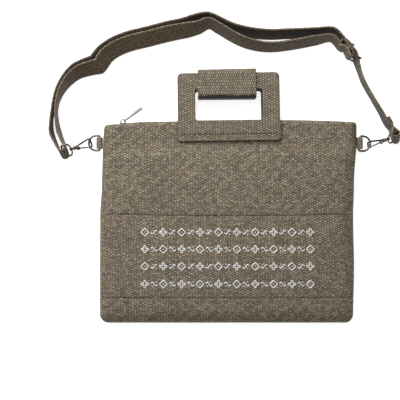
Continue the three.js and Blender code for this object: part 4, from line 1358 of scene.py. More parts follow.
@dataclass
class Zip:
    """Closed coil zip between the lips, with its slider and its tapered pull."""

    form: BagForm
    finishes: Finishes
    end: float = 15.0
    chain_width: float = 5.0
    chain_inset: float = 1.1
    tape_inset: float = 1.2
    tape_thickness: float = 1.2
    tooth_pitch: float = 1.5
    slider_share: float = -0.846
    slider_length: float = 10.0
    slider_height: float = 7.5
    slider_thickness: float = 1.8
    bridge_radius: float = 3.4
    bridge_wire: float = 1.6
    bridge_leg: float = 1.2
    pull_length: float = 33.5
    pull_width: float = 5.2
    pull_thickness: float = 2.6
    pull_wire: float = 1.3
    pull_angle: float = 33.5

    def build(self) -> None:
        """Builds tapes, teeth, slider and pull."""
        self.tapes()
        self.teeth()
        self.slider()

    def lips(self, x: Array) -> tuple[Array, Array, Array, Array]:
        """Lip heights, the middle between them and half the chain's width, at plain places across."""
        share, seam = ease(0.0, self.form.zip_taper, self.form.half_width - np.abs(x)), self.form.seam_height
        front, back = (seam + (lip - seam) * share for lip in (self.form.front_lip, self.form.back_lip))
        half = np.minimum(self.chain_width / 2.0, 0.4 * (front - back))
        return back, front, (back + front) / 2.0, half

    def place(self, x: Array, inset: float) -> tuple[Array, Array]:
        """Point under the top edge at a plain place across."""
        return self.form.fit(x, np.full_like(x, self.form.half_height))[0], self.form.top_edge(x) - inset

    def tapes(self) -> None:
        """The two tapes: flat strips from the lips to the teeth."""
        x = np.linspace(self.end - self.form.half_width, self.form.half_width - self.end, 160)
        back, front, middle, half = self.lips(x)
        across, up = self.place(x, self.tape_inset)
        for name, node, low, high in (
            ("zip_tape_rear", "zipper_tape_back", back + 0.3, middle - half - 0.15),
            ("zip_tape_fore", "zipper_tape_front", middle + half + 0.15, front - 1.2),
        ):
            corners = [(0.0, low), (0.0, high), (self.tape_thickness, high), (self.tape_thickness, low)]
            edges = [np.stack([across, up - drop, z], axis=-1) for drop, z in corners]
            points = capped(np.stack(edges, axis=1))
            uv = uv_grid(arc_lengths(points.mean(axis=1)), [0.0, 5.0, 6.2, 11.2, 12.4])
            tape = mesh_object(name, grid_patch(points, uv, close_v=True), crease=METAL_CREASE)
            dress(tape, self.finishes.tape, "bag", "zip_tape", node)

    def teeth(self) -> None:
        """The coil: short rounded bars across the chain, taking turns from both tapes, on a core."""
        reach = self.form.half_width - self.end - 1.0
        x = np.linspace(-reach, reach, int(2 * reach / self.tooth_pitch))
        _, _, middle, half = self.lips(x)
        across, up = self.place(x, self.chain_inset)
        side = np.where(np.arange(len(x)) % 2 == 0, -1.0, 1.0)
        core = np.stack([across, up - 1.1, middle], axis=-1)
        centre = np.stack([across, up - 0.75, middle + side * 0.32 * half], axis=-1)
        place = np.array([-1.0, -0.9, -0.5, 0.5, 0.9, 1.0])
        girth = np.array([0.0, 0.75, 1.0, 1.0, 0.75, 0.0])
        turn = round_turns(6)
        bar = np.stack(
            [
                np.outer(girth, np.cos(turn)) * 0.55,
                np.outer(girth, np.sin(turn)) * 0.7,
                np.outer(place, np.ones(6)),
            ],
            axis=-1,
        )
        stretch = np.stack([np.ones_like(half), np.ones_like(half), 0.62 * half], axis=-1)
        bars = repeated(bar, centre[:, None] + bar.reshape(-1, 3) * stretch[:, None])
        coil = joined([bars, tube(core, UP, 0.75, sides=8)])
        dress(mesh_object("zip_teeth", coil), self.finishes.coil, "bag", "zip_coil", "zipper_chain")

    def slider(self) -> None:
        """Slider with its bridge, and the pull that hangs on it."""
        x = self.slider_share * self.form.half_width
        half_length = self.slider_length / 2.0
        ends = self.form.top_edge(np.array([x - half_length, x + half_length]))
        slope = math.atan2(float(ends[1] - ends[0]), self.slider_length)
        along, out, _ = level_axes(slope)
        across = float(self.form.fit(np.array([x]), np.array([self.form.half_height]))[0][0])
        height = float(ends.mean()) - 0.5 + self.slider_thickness + self.bridge_leg
        pivot = np.array([across, height, (self.form.front_lip + self.form.back_lip) / 2.0])
        plate = pillow(
            pivot - out * (self.bridge_leg + self.slider_thickness / 2.0), np.stack([along, UP, out]),
            (self.slider_length, self.slider_height, self.slider_thickness), 6.0,
        )
        bend = arc(0.0, 0.0, self.bridge_radius, 0.0, 180.0, 24)
        foot = np.array([[self.bridge_radius, -self.bridge_leg - 0.5, 0.0]])
        path = np.concatenate([foot, bend, foot * [-1.0, 1.0, 1.0]])
        bridge = tube(path @ level_axes(slope) + pivot, UP, self.bridge_wire / 2.0)
        metal_piece(self.finishes, "zip_slider", [plate, bridge], "zipper_slider")
        self.pull(pivot, *level_axes(slope + math.radians(self.pull_angle))[:2])

    def pull(self, pivot: Array, heading: Array, side: Array) -> None:
        """The pull: its eye round the bridge and a soft-edged bar that widens to its end.

        Args:
            pivot: middle of the bridge's bend.
            heading: direction of the bar.
            side: level direction across it.
        """
        eye_radius = self.bridge_wire / 2.0 + 2.0 * self.form.gap + self.pull_wire / 2.0
        eye_path = arc(self.bridge_radius, 0.0, eye_radius, 0.0, 352.5, 47) @ np.stack([heading, UP, side])
        eye = tube(eye_path + pivot, side, self.pull_wire / 2.0, closed=True, sides=12)
        root = self.bridge_radius + eye_radius
        share = np.array([0.0, 0.0, 0.04, 0.1, 0.3, 0.55, 0.8, 0.965, 0.99, 1.0, 1.0])
        wide = np.array([0.0, 0.46, 0.52, 0.6, 0.72, 0.84, 0.93, 1.0, 0.97, 0.86, 0.0])
        thick = np.array([0.0, 0.6, 0.78, 0.9, 0.96, 1.0, 1.0, 1.0, 0.92, 0.74, 0.0])
        spin = round_turns(28)
        place = root + (self.pull_length - root) * share
        bar = (
            pivot
            + place[:, None, None] * heading
            + (wide[:, None] * squarer(np.cos(spin), 0.62) * self.pull_width / 2.0)[..., None] * side
            + (thick[:, None] * squarer(np.sin(spin), 0.62) * self.pull_thickness / 2.0)[..., None] * UP
        )
        piece = mesh_object("zip_pull", joined([eye, grid_patch(bar, close_v=True)]), crease=35.0)
        dress(piece, self.finishes.pull, "pull", "metal", "zipper_pull")
        # Painted shade: faces looking along the pull, mostly its tip's end, in the darker metal, for its dark
        # end face.
        paint(piece, self.finishes.metal, lambda normals, places: normals @ heading > 0.75)


# Handles


@dataclass
class Handles:
    """The two frame handles with their sewn plates, and the grip wrapped round both."""

    form: BagForm
    finishes: Finishes
    width: float = 143.0
    thickness: float = 4.2
    bar: float = 24.5
    top_bar: float = 23.5
    opening: float = 43.0
    plate: float = 29.5
    plate_side: float = 1.2
    foot_flare: float = 0.896
    corner: float = 6.5
    opening_corner: float = 3.5
    shift: float = 2.0
    turn: float = 0.8
    grip_length: float = 82.0
    grip_height: float = 41.4
    grip_depth: float = 31.0
    grip_wall: float = 2.5
    grip_corner: float = 6.5
    grip_room: float = 3.2
    grip_shift: float = -2.0
    # Keeps the flat underside from lying in the floor's own plane
    underside_lift: float = 0.08

    def frame(self) -> tuple[Array, Array]:
        """Directions of the handles as rows, and the place of their foot on the top edge."""
        foot = np.array([self.shift, float(self.form.top_edge(np.array([0.0]))[0]), 0.0])
        return level_axes(math.radians(self.turn)), foot

    def build(self) -> None:
        """Builds both frames, their stitches and the grip."""
        low = self.grip_wall + self.form.gap
        high = self.grip_depth - self.grip_wall - self.form.gap - self.thickness
        self.one("fore_frame", "front_handle", high, 1.0)
        self.one("rear_frame", "back_handle", low, -1.0)
        self.grip()

    def one(self, name: str, node: str, bottom: float, face: float) -> None:
        """One frame: a ring of padded leather round the opening, its plate a little wider.

        Args:
            name: name of the piece.
            node: node that it replaces.
            bottom: height of its underside.
            face: 1 when the outside looks up, -1 when down.
        """
        full = self.plate + self.opening + self.top_bar
        outer = rounded_contour(self.width, full, self.corner, 10, 60) + [0.0, full / 2.0 - self.plate]
        inner = rounded_contour(self.width - 2.0 * self.bar, self.opening, self.opening_corner, 10, 60)
        inner = inner + [0.0, self.opening / 2.0]
        side, out = np.sign(outer[:, 0]), np.abs(outer[:, 0])
        outer[:, 0] += side * self.plate_side * (1.0 - ease(-1.6, 0.4, outer[:, 1])) * ease(60.0, 70.0, out)
        foot_corner = ease(self.plate - 7.0, self.plate, -outer[:, 1]) * ease(64.0, 72.0, np.abs(outer[:, 0]))
        outer[:, 0] += side * self.foot_flare * foot_corner
        axes, foot = self.frame()
        origin = foot + UP * (bottom + self.thickness / 2.0)
        patch = Sleeve(outer, inner, self.thickness / 2.0, 1.3, face_steps=14).patch(axes, origin, flat_uv=True)
        frame = dress(mesh_object(name, patch), self.finishes.handle, "bag", "leather", node)
        # Painted shade: the frame's side walls in near-black leather, for the shadow line along its edges.
        paint(frame, self.finishes.edge, lambda normals, places: np.abs(normals[:, 2]) < 0.93)
        level = bottom + (self.thickness if face > 0 else 0.0)
        # Stitch row on the plate in near-black thread, as painted shade of its groove.
        line = np.array([[-66.0, 10.2 - self.plate], [66.0, 10.2 - self.plate]])
        sewn_piece(f"{name}_stitches", [self.row(line, level, face, PLATE_STITCH)], self.finishes.painted_shade_sewing)
        edge = self.row(self.seam_loop(2.6), level, face, HANDLE_STITCH)
        sewn_piece(f"{name}_edge_stitches", [edge], self.finishes.sewing)

    def seam_loop(self, inset: float) -> Array:
        """Line round the handle above the plate, a little inside its edge."""
        half = self.width / 2.0 - inset
        high = self.opening + self.top_bar - inset
        radius = self.corner - 1.0
        right = arc(half - radius, high - radius, radius, 0.0, 90.0, 10)[:, :2]
        left = arc(radius - half, high - radius, radius, 90.0, 180.0, 10)[:, :2]
        return np.concatenate([[[half, 2.0 - self.plate]], right, left, [[-half, 2.0 - self.plate]]])

    def row(self, line: Array, level: float, face: float, stitch: Stitch) -> Patch:
        """Stitches along a line of the handle's own plane, on one face."""
        axes, foot = self.frame()
        points = np.concatenate([line, np.zeros((len(line), 1))], axis=1) @ axes + foot + UP * level
        fine = evenly(points, 1.0, points)
        return stitches(fine, np.tile(UP * face, (len(fine), 1)), stitch)

    def grip(self) -> None:
        """The grip: a rounded sleeve of leather round both top bars, a little fuller at its right end."""
        top = self.opening + self.top_bar + self.grip_wall + self.grip_room
        hollow = [size - 2.0 * self.grip_wall for size in (self.grip_height, self.grip_depth)]
        outer = rounded_contour(self.grip_height, self.grip_depth, self.grip_corner, 12, 24)
        inner = rounded_contour(*hollow, self.grip_corner - self.grip_wall, 12, 24)
        half = self.grip_length / 2.0
        axes, foot = self.frame()
        basis = np.stack([axes[1], UP, axes[0]])
        middle = foot + axes[1] * (top - self.grip_height / 2.0) + axes[0] * self.grip_shift
        origin = middle + UP * self.grip_depth / 2.0
        patch = Sleeve(outer, inner, half, 1.0, side_steps=40, face_steps=3).patch(basis, origin, flat_uv=False)
        across, up, along = ((patch.points - origin) @ basis.T).T
        dent = 0.35 * np.sin(along / 9.0) * np.cos(across / 14.0)
        across *= 1.0 + 0.012 * along / half - 0.012
        up -= np.where(up > 14.0, 0.35 + dent, 0.0)
        up += np.where(up < -15.0, self.underside_lift, 0.0)
        patch.points = np.stack([across, up, along], axis=-1) @ basis + origin
        grip = dress(mesh_object("grip", patch), self.finishes.grip, "bag", "leather", "handle_wrap")
        # Painted shade: the grip's faces towards the bag in near-black leather, for the shadow under it.
        paint(grip, self.finishes.edge, lambda normals, places: normals @ axes[1] < -0.45)


# Side fittings


def mirrored(rows: list[list[float]]) -> list[list[float]]:
    """Points (place, radius) of a profile, then the same ones mirrored back."""
    return rows + [[-place, radius] for place, radius in rows[::-1]]


class Side(Enum):
    """Which side of the bag a fitting is on."""

    LEFT = -1
    RIGHT = 1


@dataclass
class Fitting:
    """Tab, ring, snap hook, gate and swivel eye of one side."""

    form: BagForm
    finishes: Finishes
    side: Side
    ring_heading: float
    seat: float
    heading: float
    roll: float
    eye_roll: float
    tab_width: float = 16.0
    tab_reach: float = 9.2
    tab_wall: float = 1.9
    tab_root: float = 1.1
    tab_drop: float = 31.3
    tab_row: float = 6.2
    ring_width: float = 24.0
    ring_depth: float = 18.6
    ring_wire: float = 3.0
    ring_corner: float = 2.5
    hook_wire: float = 2.6
    hook_half: float = 7.3
    hook_corner: float = 3.0
    hook_length: float = 26.5
    collar_length: float = 6.0
    collar_diameter: float = 6.2
    reach: float = 41.0
    claw_tip: float = 6.0
    gate_wire: float = 2.2
    pivot_inset: float = 2.2
    pivot_offset: float = 2.5
    knuckle: float = 3.4
    cheek_thickness: float = 0.8
    eye_wire: float = 2.6
    eye_boss: float = 5.4
    eye_half: float = 14.8
    eye_shoulder: float = 4.5
    eye_corner: float = 2.4
    eye_rest: float = 0.3
    rest: float = 0.2

    @property
    def tag(self) -> str:
        """Name of the side."""
        return self.side.name.lower()

    @property
    def tab_height(self) -> float:
        """Height of the tab's middle, measured down from the bag's top."""
        return self.form.half_height - self.tab_drop

    @property
    def slot_reach(self) -> float:
        """Room for the ring's bar inside the tab, across the bag."""
        return self.tab_reach - self.tab_root - self.tab_wall - self.form.gap

    def edge(self) -> float:
        """Place of the bag's edge under the tab, the farther of its two ends."""
        ends = np.array([self.tab_height - self.tab_width / 2.0, self.tab_height + self.tab_width / 2.0])
        share = self.form.side_share(np.full(2, float(self.side.value)), ends)
        return self.side.value * self.form.half_width * float(share.max())

    def ring_middle(self) -> Array:
        """Middle of the ring's straight bar, inside the tab."""
        bar = self.tab_root + self.form.gap + self.slot_reach / 2.0
        return np.array([self.edge() + self.side.value * bar, self.tab_height, self.form.seam_height])

    def frame(self) -> dict[str, Array]:
        """Directions and places of the hook and its eye, as in the CAD.

        Returns:
            claw, along, across, width, out and eye_bar.
        """
        turns = (self.ring_heading, self.seat, self.heading)
        ring_way, seat_way, along = (level_axes(math.radians(turn))[0] for turn in turns)
        ring_half = (self.ring_width - self.ring_wire) / 2.0
        bow = self.ring_middle() + ring_way * (self.ring_depth - self.ring_wire - ring_half)
        claw = bow + seat_way * (ring_half - self.ring_wire / 2.0 - self.form.gap - self.hook_wire / 2.0)
        tilt = math.radians(self.eye_roll)
        eye_height = self.rest + self.eye_half * math.cos(tilt) + self.eye_wire / 2.0 + self.eye_rest
        along = along * self.reach
        along[2] = eye_height - self.form.seam_height
        along = unit(along)
        north = unit(np.cross(UP, along)) * self.side.value
        up = np.cross(along, north) * self.side.value
        roll = math.radians(self.roll)
        return {
            "claw": claw,
            "along": along,
            "across": north * math.cos(roll) + up * math.sin(roll),
            "width": unit(north * math.sin(tilt) + up * math.cos(tilt)),
            "out": north * math.cos(tilt) - up * math.sin(tilt),
            "eye_bar": claw + along * self.reach,
        }

    def build(self) -> None:
        """Builds the five pieces of this side."""
        self.tab()
        self.ring()
        self.hook()
        self.gate()
        self.eye()

    def tab(self) -> None:
        """Folded leather tab: a sleeve round the ring's bar, with a row of stitches at its root."""
        gap, side = self.form.gap, float(self.side.value)
        thick = self.ring_wire + 2.0 * gap + 2.0 * self.tab_wall
        reach = self.tab_reach - gap
        outer = rounded_contour(reach, thick, thick * 0.42, 12, 4) + [gap + reach / 2.0, 0.0]
        slot, middle = self.ring_wire + 2.0 * gap, self.tab_root + gap + self.slot_reach / 2.0
        inner = rounded_contour(self.slot_reach, slot, 1.5, 12, 4) + [middle, 0.0]
        sleeve = Sleeve(outer, inner, self.tab_width / 2.0, 0.5, side_steps=12, face_steps=3)
        basis = np.array([[side, 0.0, 0.0], UP, [0.0, -side, 0.0]])
        origin = np.array([self.edge(), self.tab_height, self.form.seam_height])
        patch = sleeve.patch(basis, origin, flat_uv=False)
        patch.uvs = patch.uvs[..., ::-1].copy()
        tab = mesh_object(f"side_tab_{self.tag}", patch)
        dress(tab, self.finishes.grip, "bag", "leather", f"tab_{self.tag}")
        up = np.linspace(self.tab_height - self.tab_row, self.tab_height + self.tab_row, 12)
        across = np.full_like(up, self.edge() + side * 3.6)
        line = np.stack([across, up, np.full_like(up, self.form.seam_height + thick / 2.0 - 0.25)], axis=-1)
        row = stitches(line, np.tile(UP, (len(line), 1)), TAB_STITCH)
        sewn_piece(f"tab_stitches_{self.tag}", [row], self.finishes.sewing)

    def ring(self) -> None:
        """D-shaped ring: a half circle and a straight bar with small corners, of round wire."""
        half = (self.ring_width - self.ring_wire) / 2.0
        bow = self.ring_depth - self.ring_wire - half
        path = np.concatenate([
            arc(bow, 0.0, half, -90.0, 90.0, 48),
            arc(self.ring_corner, half - self.ring_corner, self.ring_corner, 90.0, 180.0, 10),
            arc(self.ring_corner, self.ring_corner - half, self.ring_corner, 180.0, 270.0, 10),
        ])
        basis = level_axes(math.radians(self.ring_heading))
        patch = tube(path @ basis + self.ring_middle(), UP, self.ring_wire / 2.0, closed=True, sides=20)
        metal_piece(self.finishes, f"side_ring_{self.tag}", [patch], f"d_ring_{self.tag}")

    def arm(self) -> Array:
        """Line of the hook's arm in its own plane: from the collar round the claw to its tip."""
        straight = self.hook_length - self.collar_length - self.hook_corner
        slope = math.atan2(self.hook_half - self.collar_diameter / 4.0, straight)
        ease_angle = math.degrees(slope) * 0.4
        corner = self.hook_half - self.hook_corner
        upper = arc(self.hook_corner, corner, self.hook_corner, 90.0 - ease_angle, 180.0, 16)
        lower = arc(self.hook_corner, -corner, self.hook_corner, 180.0, 270.0 + ease_angle, 16)
        root = np.array([[self.hook_length - self.collar_length + 0.8, self.collar_diameter / 4.0, 0.0]])
        rise = (self.claw_tip - self.hook_corner) * math.tan(slope) * 0.8
        tip = np.array([[self.claw_tip, rise - self.hook_half, 0.0]])
        run = root + (upper[:1] - root) * np.linspace(0.0, 1.0, 8)[:-1, None]
        return np.concatenate([run, upper, lower, tip])

    def pivot(self) -> Array:
        """Pivot of the gate in the hook's own plane."""
        return np.array([self.hook_length - self.collar_length - self.pivot_inset, -self.pivot_offset, 0.0])

    def basis(self, second: str) -> Array:
        """Rows along, second and third of the hook or its eye."""
        frame = self.frame()
        return np.stack([frame["along"], frame[second], np.cross(frame["along"], frame[second])])

    def hook(self) -> None:
        """Snap hook: its arm thickest at the claw, with collar, cheeks and pin."""
        basis, claw = self.basis("across"), self.frame()["claw"]
        path = self.arm()
        along = arc_lengths(path)
        along /= along[-1]
        radius = self.hook_wire / 2.0 * (1.0 + 0.1 * np.sin(math.pi * np.clip(along * 1.15, 0.0, 1.0)) - 0.06)
        arm = tube(path @ basis + claw, basis[2], radius, sides=20)
        start = self.hook_length - self.collar_length
        share = np.array([0.0, 0.0, 0.03, 0.1, 0.2, 0.3, 0.42, 0.52, 0.66, 0.84, 0.95, 1.0, 1.0])
        girth = np.array([0.0, 0.7, 0.78, 0.94, 1.0, 0.92, 0.84, 0.86, 0.95, 1.0, 0.95, 0.8, 0.0])
        profile = np.stack([start + share * self.collar_length, girth * self.collar_diameter / 2.0], axis=-1)
        collar = turned(profile, basis[0], basis[1], claw)
        pivot = self.pivot()
        half = self.knuckle / 2.0 - 0.4
        level = half + self.form.gap + self.cheek_thickness / 2.0
        length = start + 1.2 - (pivot[0] - 1.5)
        pieces = [arm, collar]
        for side in (-1.0, 1.0):
            middle = np.array([pivot[0] - 1.5 + length / 2.0, pivot[1], side * level])
            pieces.append(pillow(middle @ basis + claw, basis, (length, 3.0, self.cheek_thickness), 5.0, 14))
        reach = level + self.cheek_thickness / 2.0 + 0.25
        pin = np.array(mirrored([[-reach, 0.0], [-reach, 0.5], [0.1 - reach, 0.62]]))
        pieces.append(turned(pin, basis[2], basis[0], pivot @ basis + claw, 16))
        metal_piece(self.finishes, f"snap_hook_{self.tag}", pieces, f"hook_{self.tag}")

    def gate(self) -> None:
        """Sprung lever of the hook, swelling to its knuckle, on its own body."""
        basis, claw = self.basis("across"), self.frame()["claw"]
        pivot, tip = self.pivot(), self.arm()[-1]
        line = unit(pivot - tip)
        start, end = tip + line * (self.form.gap + 0.2), pivot - line * 0.9
        share = np.linspace(0.0, 1.0, 16)
        path = start + (end - start) * share[:, None]
        radius = self.gate_wire / 2.0 * (0.82 + 0.18 * np.sin(math.pi * np.clip(share, 0.05, 1.0)) ** 0.5)
        lever = tube(path @ basis + claw, basis[2], radius, sides=16)
        half, out, hole = self.knuckle / 2.0 - 0.4, self.knuckle / 2.0, 0.9
        rise = [[-half, hole], [-half, out - 0.2], [0.2 - half, out]]
        profile = np.array(mirrored(rise) + rise[:1])
        knuckle = turned(profile, basis[2], basis[0], pivot @ basis + claw, 24)
        gate = f"gate_{self.tag}"
        metal_piece(self.finishes, f"hook_{gate}", [lever, knuckle], gate, gate)

    def eye(self) -> None:
        """Swivel eye: a wire loop with rounded shoulders, its ball and its pin in the collar."""
        basis, claw = self.basis("width"), self.frame()["claw"]
        boss = self.eye_boss / 2.0
        near = self.hook_length + boss
        turn = np.radians(np.linspace(-90.0, 90.0, 41))
        bulge = self.eye_shoulder * (1.0 - np.cos(turn))
        shoulder = np.stack([near + bulge, self.eye_half * np.sin(turn), np.zeros_like(turn)], axis=-1)
        far, half = self.reach - self.eye_corner, self.eye_half - self.eye_corner
        corners = [
            arc(far, half, self.eye_corner, 90.0, 0.0, 10),
            arc(far, -half, self.eye_corner, 0.0, -90.0, 10),
        ]
        path = np.concatenate([shoulder, *corners])
        loop = tube(path @ basis + claw, basis[2], self.eye_wire / 2.0, closed=True, sides=18)
        turn = np.linspace(0.0, math.pi, 17)
        ball = np.stack([near + 0.3 - boss * np.cos(turn), boss * np.sin(turn)], axis=-1)
        start = self.hook_length - 3.5
        pin = np.array([[start, 0.0], [start, 1.1], [near, 1.1], [near, 0.0]])
        pieces = [loop, turned(ball, *basis[:2], claw), turned(pin, *basis[:2], claw, 16)]
        metal_piece(self.finishes, f"swivel_eye_{self.tag}", pieces, f"eye_{self.tag}")


# Strap


# Root of the distance between two key stations below which they count as one
SHORTEST = 1e-4


@dataclass
class Strap:
    """Shoulder strap: doubled from the left eye to the slide, single from there to the right eye."""

    form: BagForm
    finishes: Finishes
    left: Fitting
    right: Fitting
    width: float = 25.0
    thickness: float = 3.0
    flap: float = 28.0
    loop_radius: float = 4.5
    rest: float = 0.2
    slide_wire: float = 2.4
    slide_length: float = 24.0
    slide_clearance: float = 0.5
    slide_x: float = 0.97
    slide_y: float = 1.648
    slide_heading: float = -63.0
    slide_lean: float = 4.0
    station_step: float = 2.6
    stitch_inset: float = 2.3
    # Foot of the inner layer as shares of the half width and half height, its lean from upright in
    # degrees, and how far out the outer layer lies, as a share of the width
    doubled: tuple[tuple[float, float, float, float], ...] = (
        (-1.345, 1.101, -3, 0.2), (-1.332, 1.191, 0, 0.17), (-1.288, 1.292, 11, 0.16),
        (-1.228, 1.372, 24, 0.17), (-1.164, 1.427, 36, 0.2), (-1.084, 1.457, 46, 0.22),
        (-1.02, 1.472, 50, 0.28), (-0.978, 1.487, 52, 0.34), (-0.945, 1.538, 54, 0.3),
        (-0.909, 1.603, 56, 0.25), (-0.845, 1.658, 56, 0.24), (-0.757, 1.703, 56, 0.24),
        (-0.613, 1.748, 56, 0.24), (-0.454, 1.799, 56, 0.25), (-0.302, 1.839, 50, 0.3),
        (-0.214, 1.874, 38, 0.42), (-0.143, 1.924, 28, 0.3), (-0.087, 1.884, 27, 0.3),
        (-0.023, 1.836, 26, 0.36), (0.057, 1.778, 26, 0.5), (0.153, 1.728, 26, 0.62), (0.256, 1.7, 24, 0.7),
        (0.36, 1.693, 23, 0.71), (0.472, 1.707, 23, 0.67), (0.591, 1.731, 24, 0.56),
        (0.711, 1.761, 23, 0.44), (0.823, 1.794, 12, 0.4), (0.887, 1.713, 5, 0.36),
    )
    single: tuple[tuple[float, float, float, float], ...] = (
        (1.034, 1.502, -2, 0), (1.07, 1.382, -2, 0), (1.142, 1.221, -2, 0),
    )
    # The same beside each eye, its foot measured from the eye's bar in shares of the strap's width
    left_approach: tuple[tuple[float, float, float, float], ...] = (
        (-0.175, 1.156, 4, 0.42), (-0.348, 1.785, -2, 0.32),
    )
    right_approach: tuple[tuple[float, float, float, float], ...] = (
        (-0.876, 1.344, 0, 0), (-0.531, 0.652, 4, 0),
    )

    def stations(self, rows: Array, outer: bool) -> tuple[Array, Array]:
        """Middles and width directions of the strap over its feet.

        Args:
            rows: (x, y, lean, apart) rows.
            outer: the outer layer, moved out by its share of the width.

        Returns:
            Middles (n, 3) and unit width directions (n, 3).
        """
        foot_x, foot_y, lean, apart = rows.T
        feet = np.stack([foot_x * self.form.half_width, foot_y * self.form.half_height, 0.0 * foot_x], axis=-1)
        padded = np.concatenate([feet[:1], feet, feet[-1:]])
        out = unit(np.cross(UP, padded[2:] - padded[:-2]))
        sine, cosine = np.sin(np.radians(lean)), np.cos(np.radians(lean))
        side = (sine * self.width + cosine * self.thickness) / 2.0
        if outer:
            side = side + np.maximum(apart * self.width, (self.thickness + self.form.gap) / cosine)
        middle = feet + out * side[:, None]
        middle[:, 2] = self.rest + (cosine * self.width + sine * self.thickness) / 2.0
        return middle, out * sine[:, None] + UP * cosine[:, None]

    def beside_eye(self, rows: Sequence[tuple[float, ...]], fitting: Fitting) -> Array:
        """Rows given from an eye's bar, as rows in shares of the bag's half width and half height."""
        placed = np.array(rows, float)
        bar = fitting.frame()["eye_bar"]
        placed[:, :2] = (bar[:2] + placed[:, :2] * self.width) / [self.form.half_width, self.form.half_height]
        return placed

    def slide_frame(self) -> dict[str, Array]:
        """Middle and directions of the slide."""
        lean = math.radians(self.slide_lean)
        along, side, _ = level_axes(math.radians(self.slide_heading))
        half = self.slide_half
        height = self.rest + (half + self.slide_wire / 2.0) * math.cos(lean) + self.bow * math.sin(lean)
        place = (self.slide_x * self.form.half_width, self.slide_y * self.form.half_height)
        return {
            "middle": np.array([*place, height]),
            "along": along,
            "out": side * math.cos(lean) - UP * math.sin(lean),
            "width": side * math.sin(lean) + UP * math.cos(lean),
        }

    @property
    def slide_half(self) -> float:
        """Half the distance between the middles of the slide's rails."""
        return self.width / 2.0 + self.slide_clearance + self.slide_wire / 2.0

    @property
    def layers(self) -> tuple[float, float, float, float]:
        """Places across the slide of the sewn loop, its flap, and the strap over and under."""
        loop = self.slide_wire / 2.0 + self.form.gap + self.thickness / 2.0
        pitch = self.thickness + self.form.gap
        return loop, pitch - loop, loop + pitch, 2.0 * pitch - loop

    @property
    def bow(self) -> float:
        """How far out the slide's end bars lie."""
        return self.layers[3] + self.thickness / 2.0 + self.form.gap + self.slide_wire / 2.0

    def turn_round(self, fitting: Fitting) -> tuple[Array, Array]:
        """Half circle of the strap round an eye's bar."""
        frame = fitting.frame()
        turn = np.linspace(0.0, math.pi, 9)[:, None]
        back = frame["along"] * np.cos(turn) + frame["out"] * np.sin(turn)
        return frame["eye_bar"] - self.loop_radius * back, np.tile(frame["width"], (len(turn), 1))

    def keys(self) -> tuple[Array, Array]:
        """All key stations of the strap from its sewn end at the slide to its flap at the right eye."""
        slide = self.slide_frame()
        loop, flap, over, under = self.layers
        reach = self.slide_length / 2.0

        def on_slide(rows: Sequence[tuple[float, float]]) -> tuple[Array, Array]:
            place = np.array(rows, float)
            middle = slide["middle"] + place[:, :1] * slide["along"] + place[:, 1:] * slide["out"]
            return middle, np.tile(slide["width"], (len(rows), 1))

        turn = np.radians(np.linspace(90.0, -90.0, 7))
        doubled = np.concatenate([self.beside_eye(self.left_approach, self.left), np.array(self.doubled)])
        single = np.concatenate([np.array(self.single), self.beside_eye(self.right_approach, self.right)])
        middle, width = self.stations(single, False)
        inside = unit(np.cross(unit(middle[-2] - middle[-1]), UP)) * (self.thickness + self.form.gap)
        ends = np.stack([middle[-1], (middle[-1] + middle[-2]) / 2.0]) + inside
        parts = [
            on_slide([(-self.flap, flap), (-reach, flap), (-0.45 * reach, 0.65 * loop)]),
            on_slide([(loop * math.cos(a), loop * math.sin(a)) for a in turn]),
            on_slide([(-reach, -loop)]),
            [part[::-1] for part in self.stations(doubled, False)],
            self.turn_round(self.left),
            self.stations(doubled, True),
            on_slide([(-1.5 * reach, under), (-0.9 * reach, under), (0.0, over), (0.9 * reach, under)]),
            (middle, width),
            [part[::-1] for part in self.turn_round(self.right)],
            (ends, np.tile(width[-1], (2, 1))),
        ]
        return np.concatenate([part[0] for part in parts]), np.concatenate([part[1] for part in parts])

    def line(self, spacing: float) -> tuple[Array, Array, Array]:
        """Fine stations of the strap on a centripetal Catmull-Rom curve through its keys.

        Each span is a cubic whose end slopes weigh the neighbouring chords by the root of their length.

        Args:
            spacing: longest step between stations.

        Returns:
            Middles, directions across the width, and directions through the thickness.
        """
        middle, width = self.keys()
        before = np.concatenate([2.0 * middle[:1] - middle[1:2], middle[:-2]])
        after = np.concatenate([middle[2:], 2.0 * middle[-1:] - middle[-2:-1]])
        start, end = middle[:-1], middle[1:]
        spans = ((before, start), (start, end), (end, after))
        gaps = [np.sqrt(np.linalg.norm(b - a, axis=1))[:, None] for a, b in spans]
        mid = np.maximum(gaps[1], SHORTEST)
        first, last = (np.where(gap < SHORTEST, mid, gap) for gap in (gaps[0], gaps[2]))
        slope_start = ((start - before) / first - (end - before) / (first + mid) + (end - start) / mid) * mid
        slope_end = ((end - start) / mid - (after - start) / (mid + last) + (after - end) / last) * mid
        counts = np.maximum(1, np.ceil(np.linalg.norm(end - start, axis=1) / spacing).astype(int))
        span = np.repeat(np.arange(len(counts)), counts)
        share = np.concatenate([np.arange(count) / count for count in counts])[:, None]
        a, b, m0, m1 = start[span], end[span], slope_start[span], slope_end[span]
        square, cube = 3.0 * (b - a) - 2.0 * m0 - m1, 2.0 * (a - b) + m0 + m1
        curve = a + m0 * share + square * share**2 + cube * share**3
        across = unit(width[span] + (width[span + 1] - width[span]) * share)
        curve = np.concatenate([curve, middle[-1:]])
        across = np.concatenate([across, width[-1:]])
        tangent = directions(curve)
        thick = unit(np.cross(tangent, across))
        return curve, unit(np.cross(thick, tangent)), thick

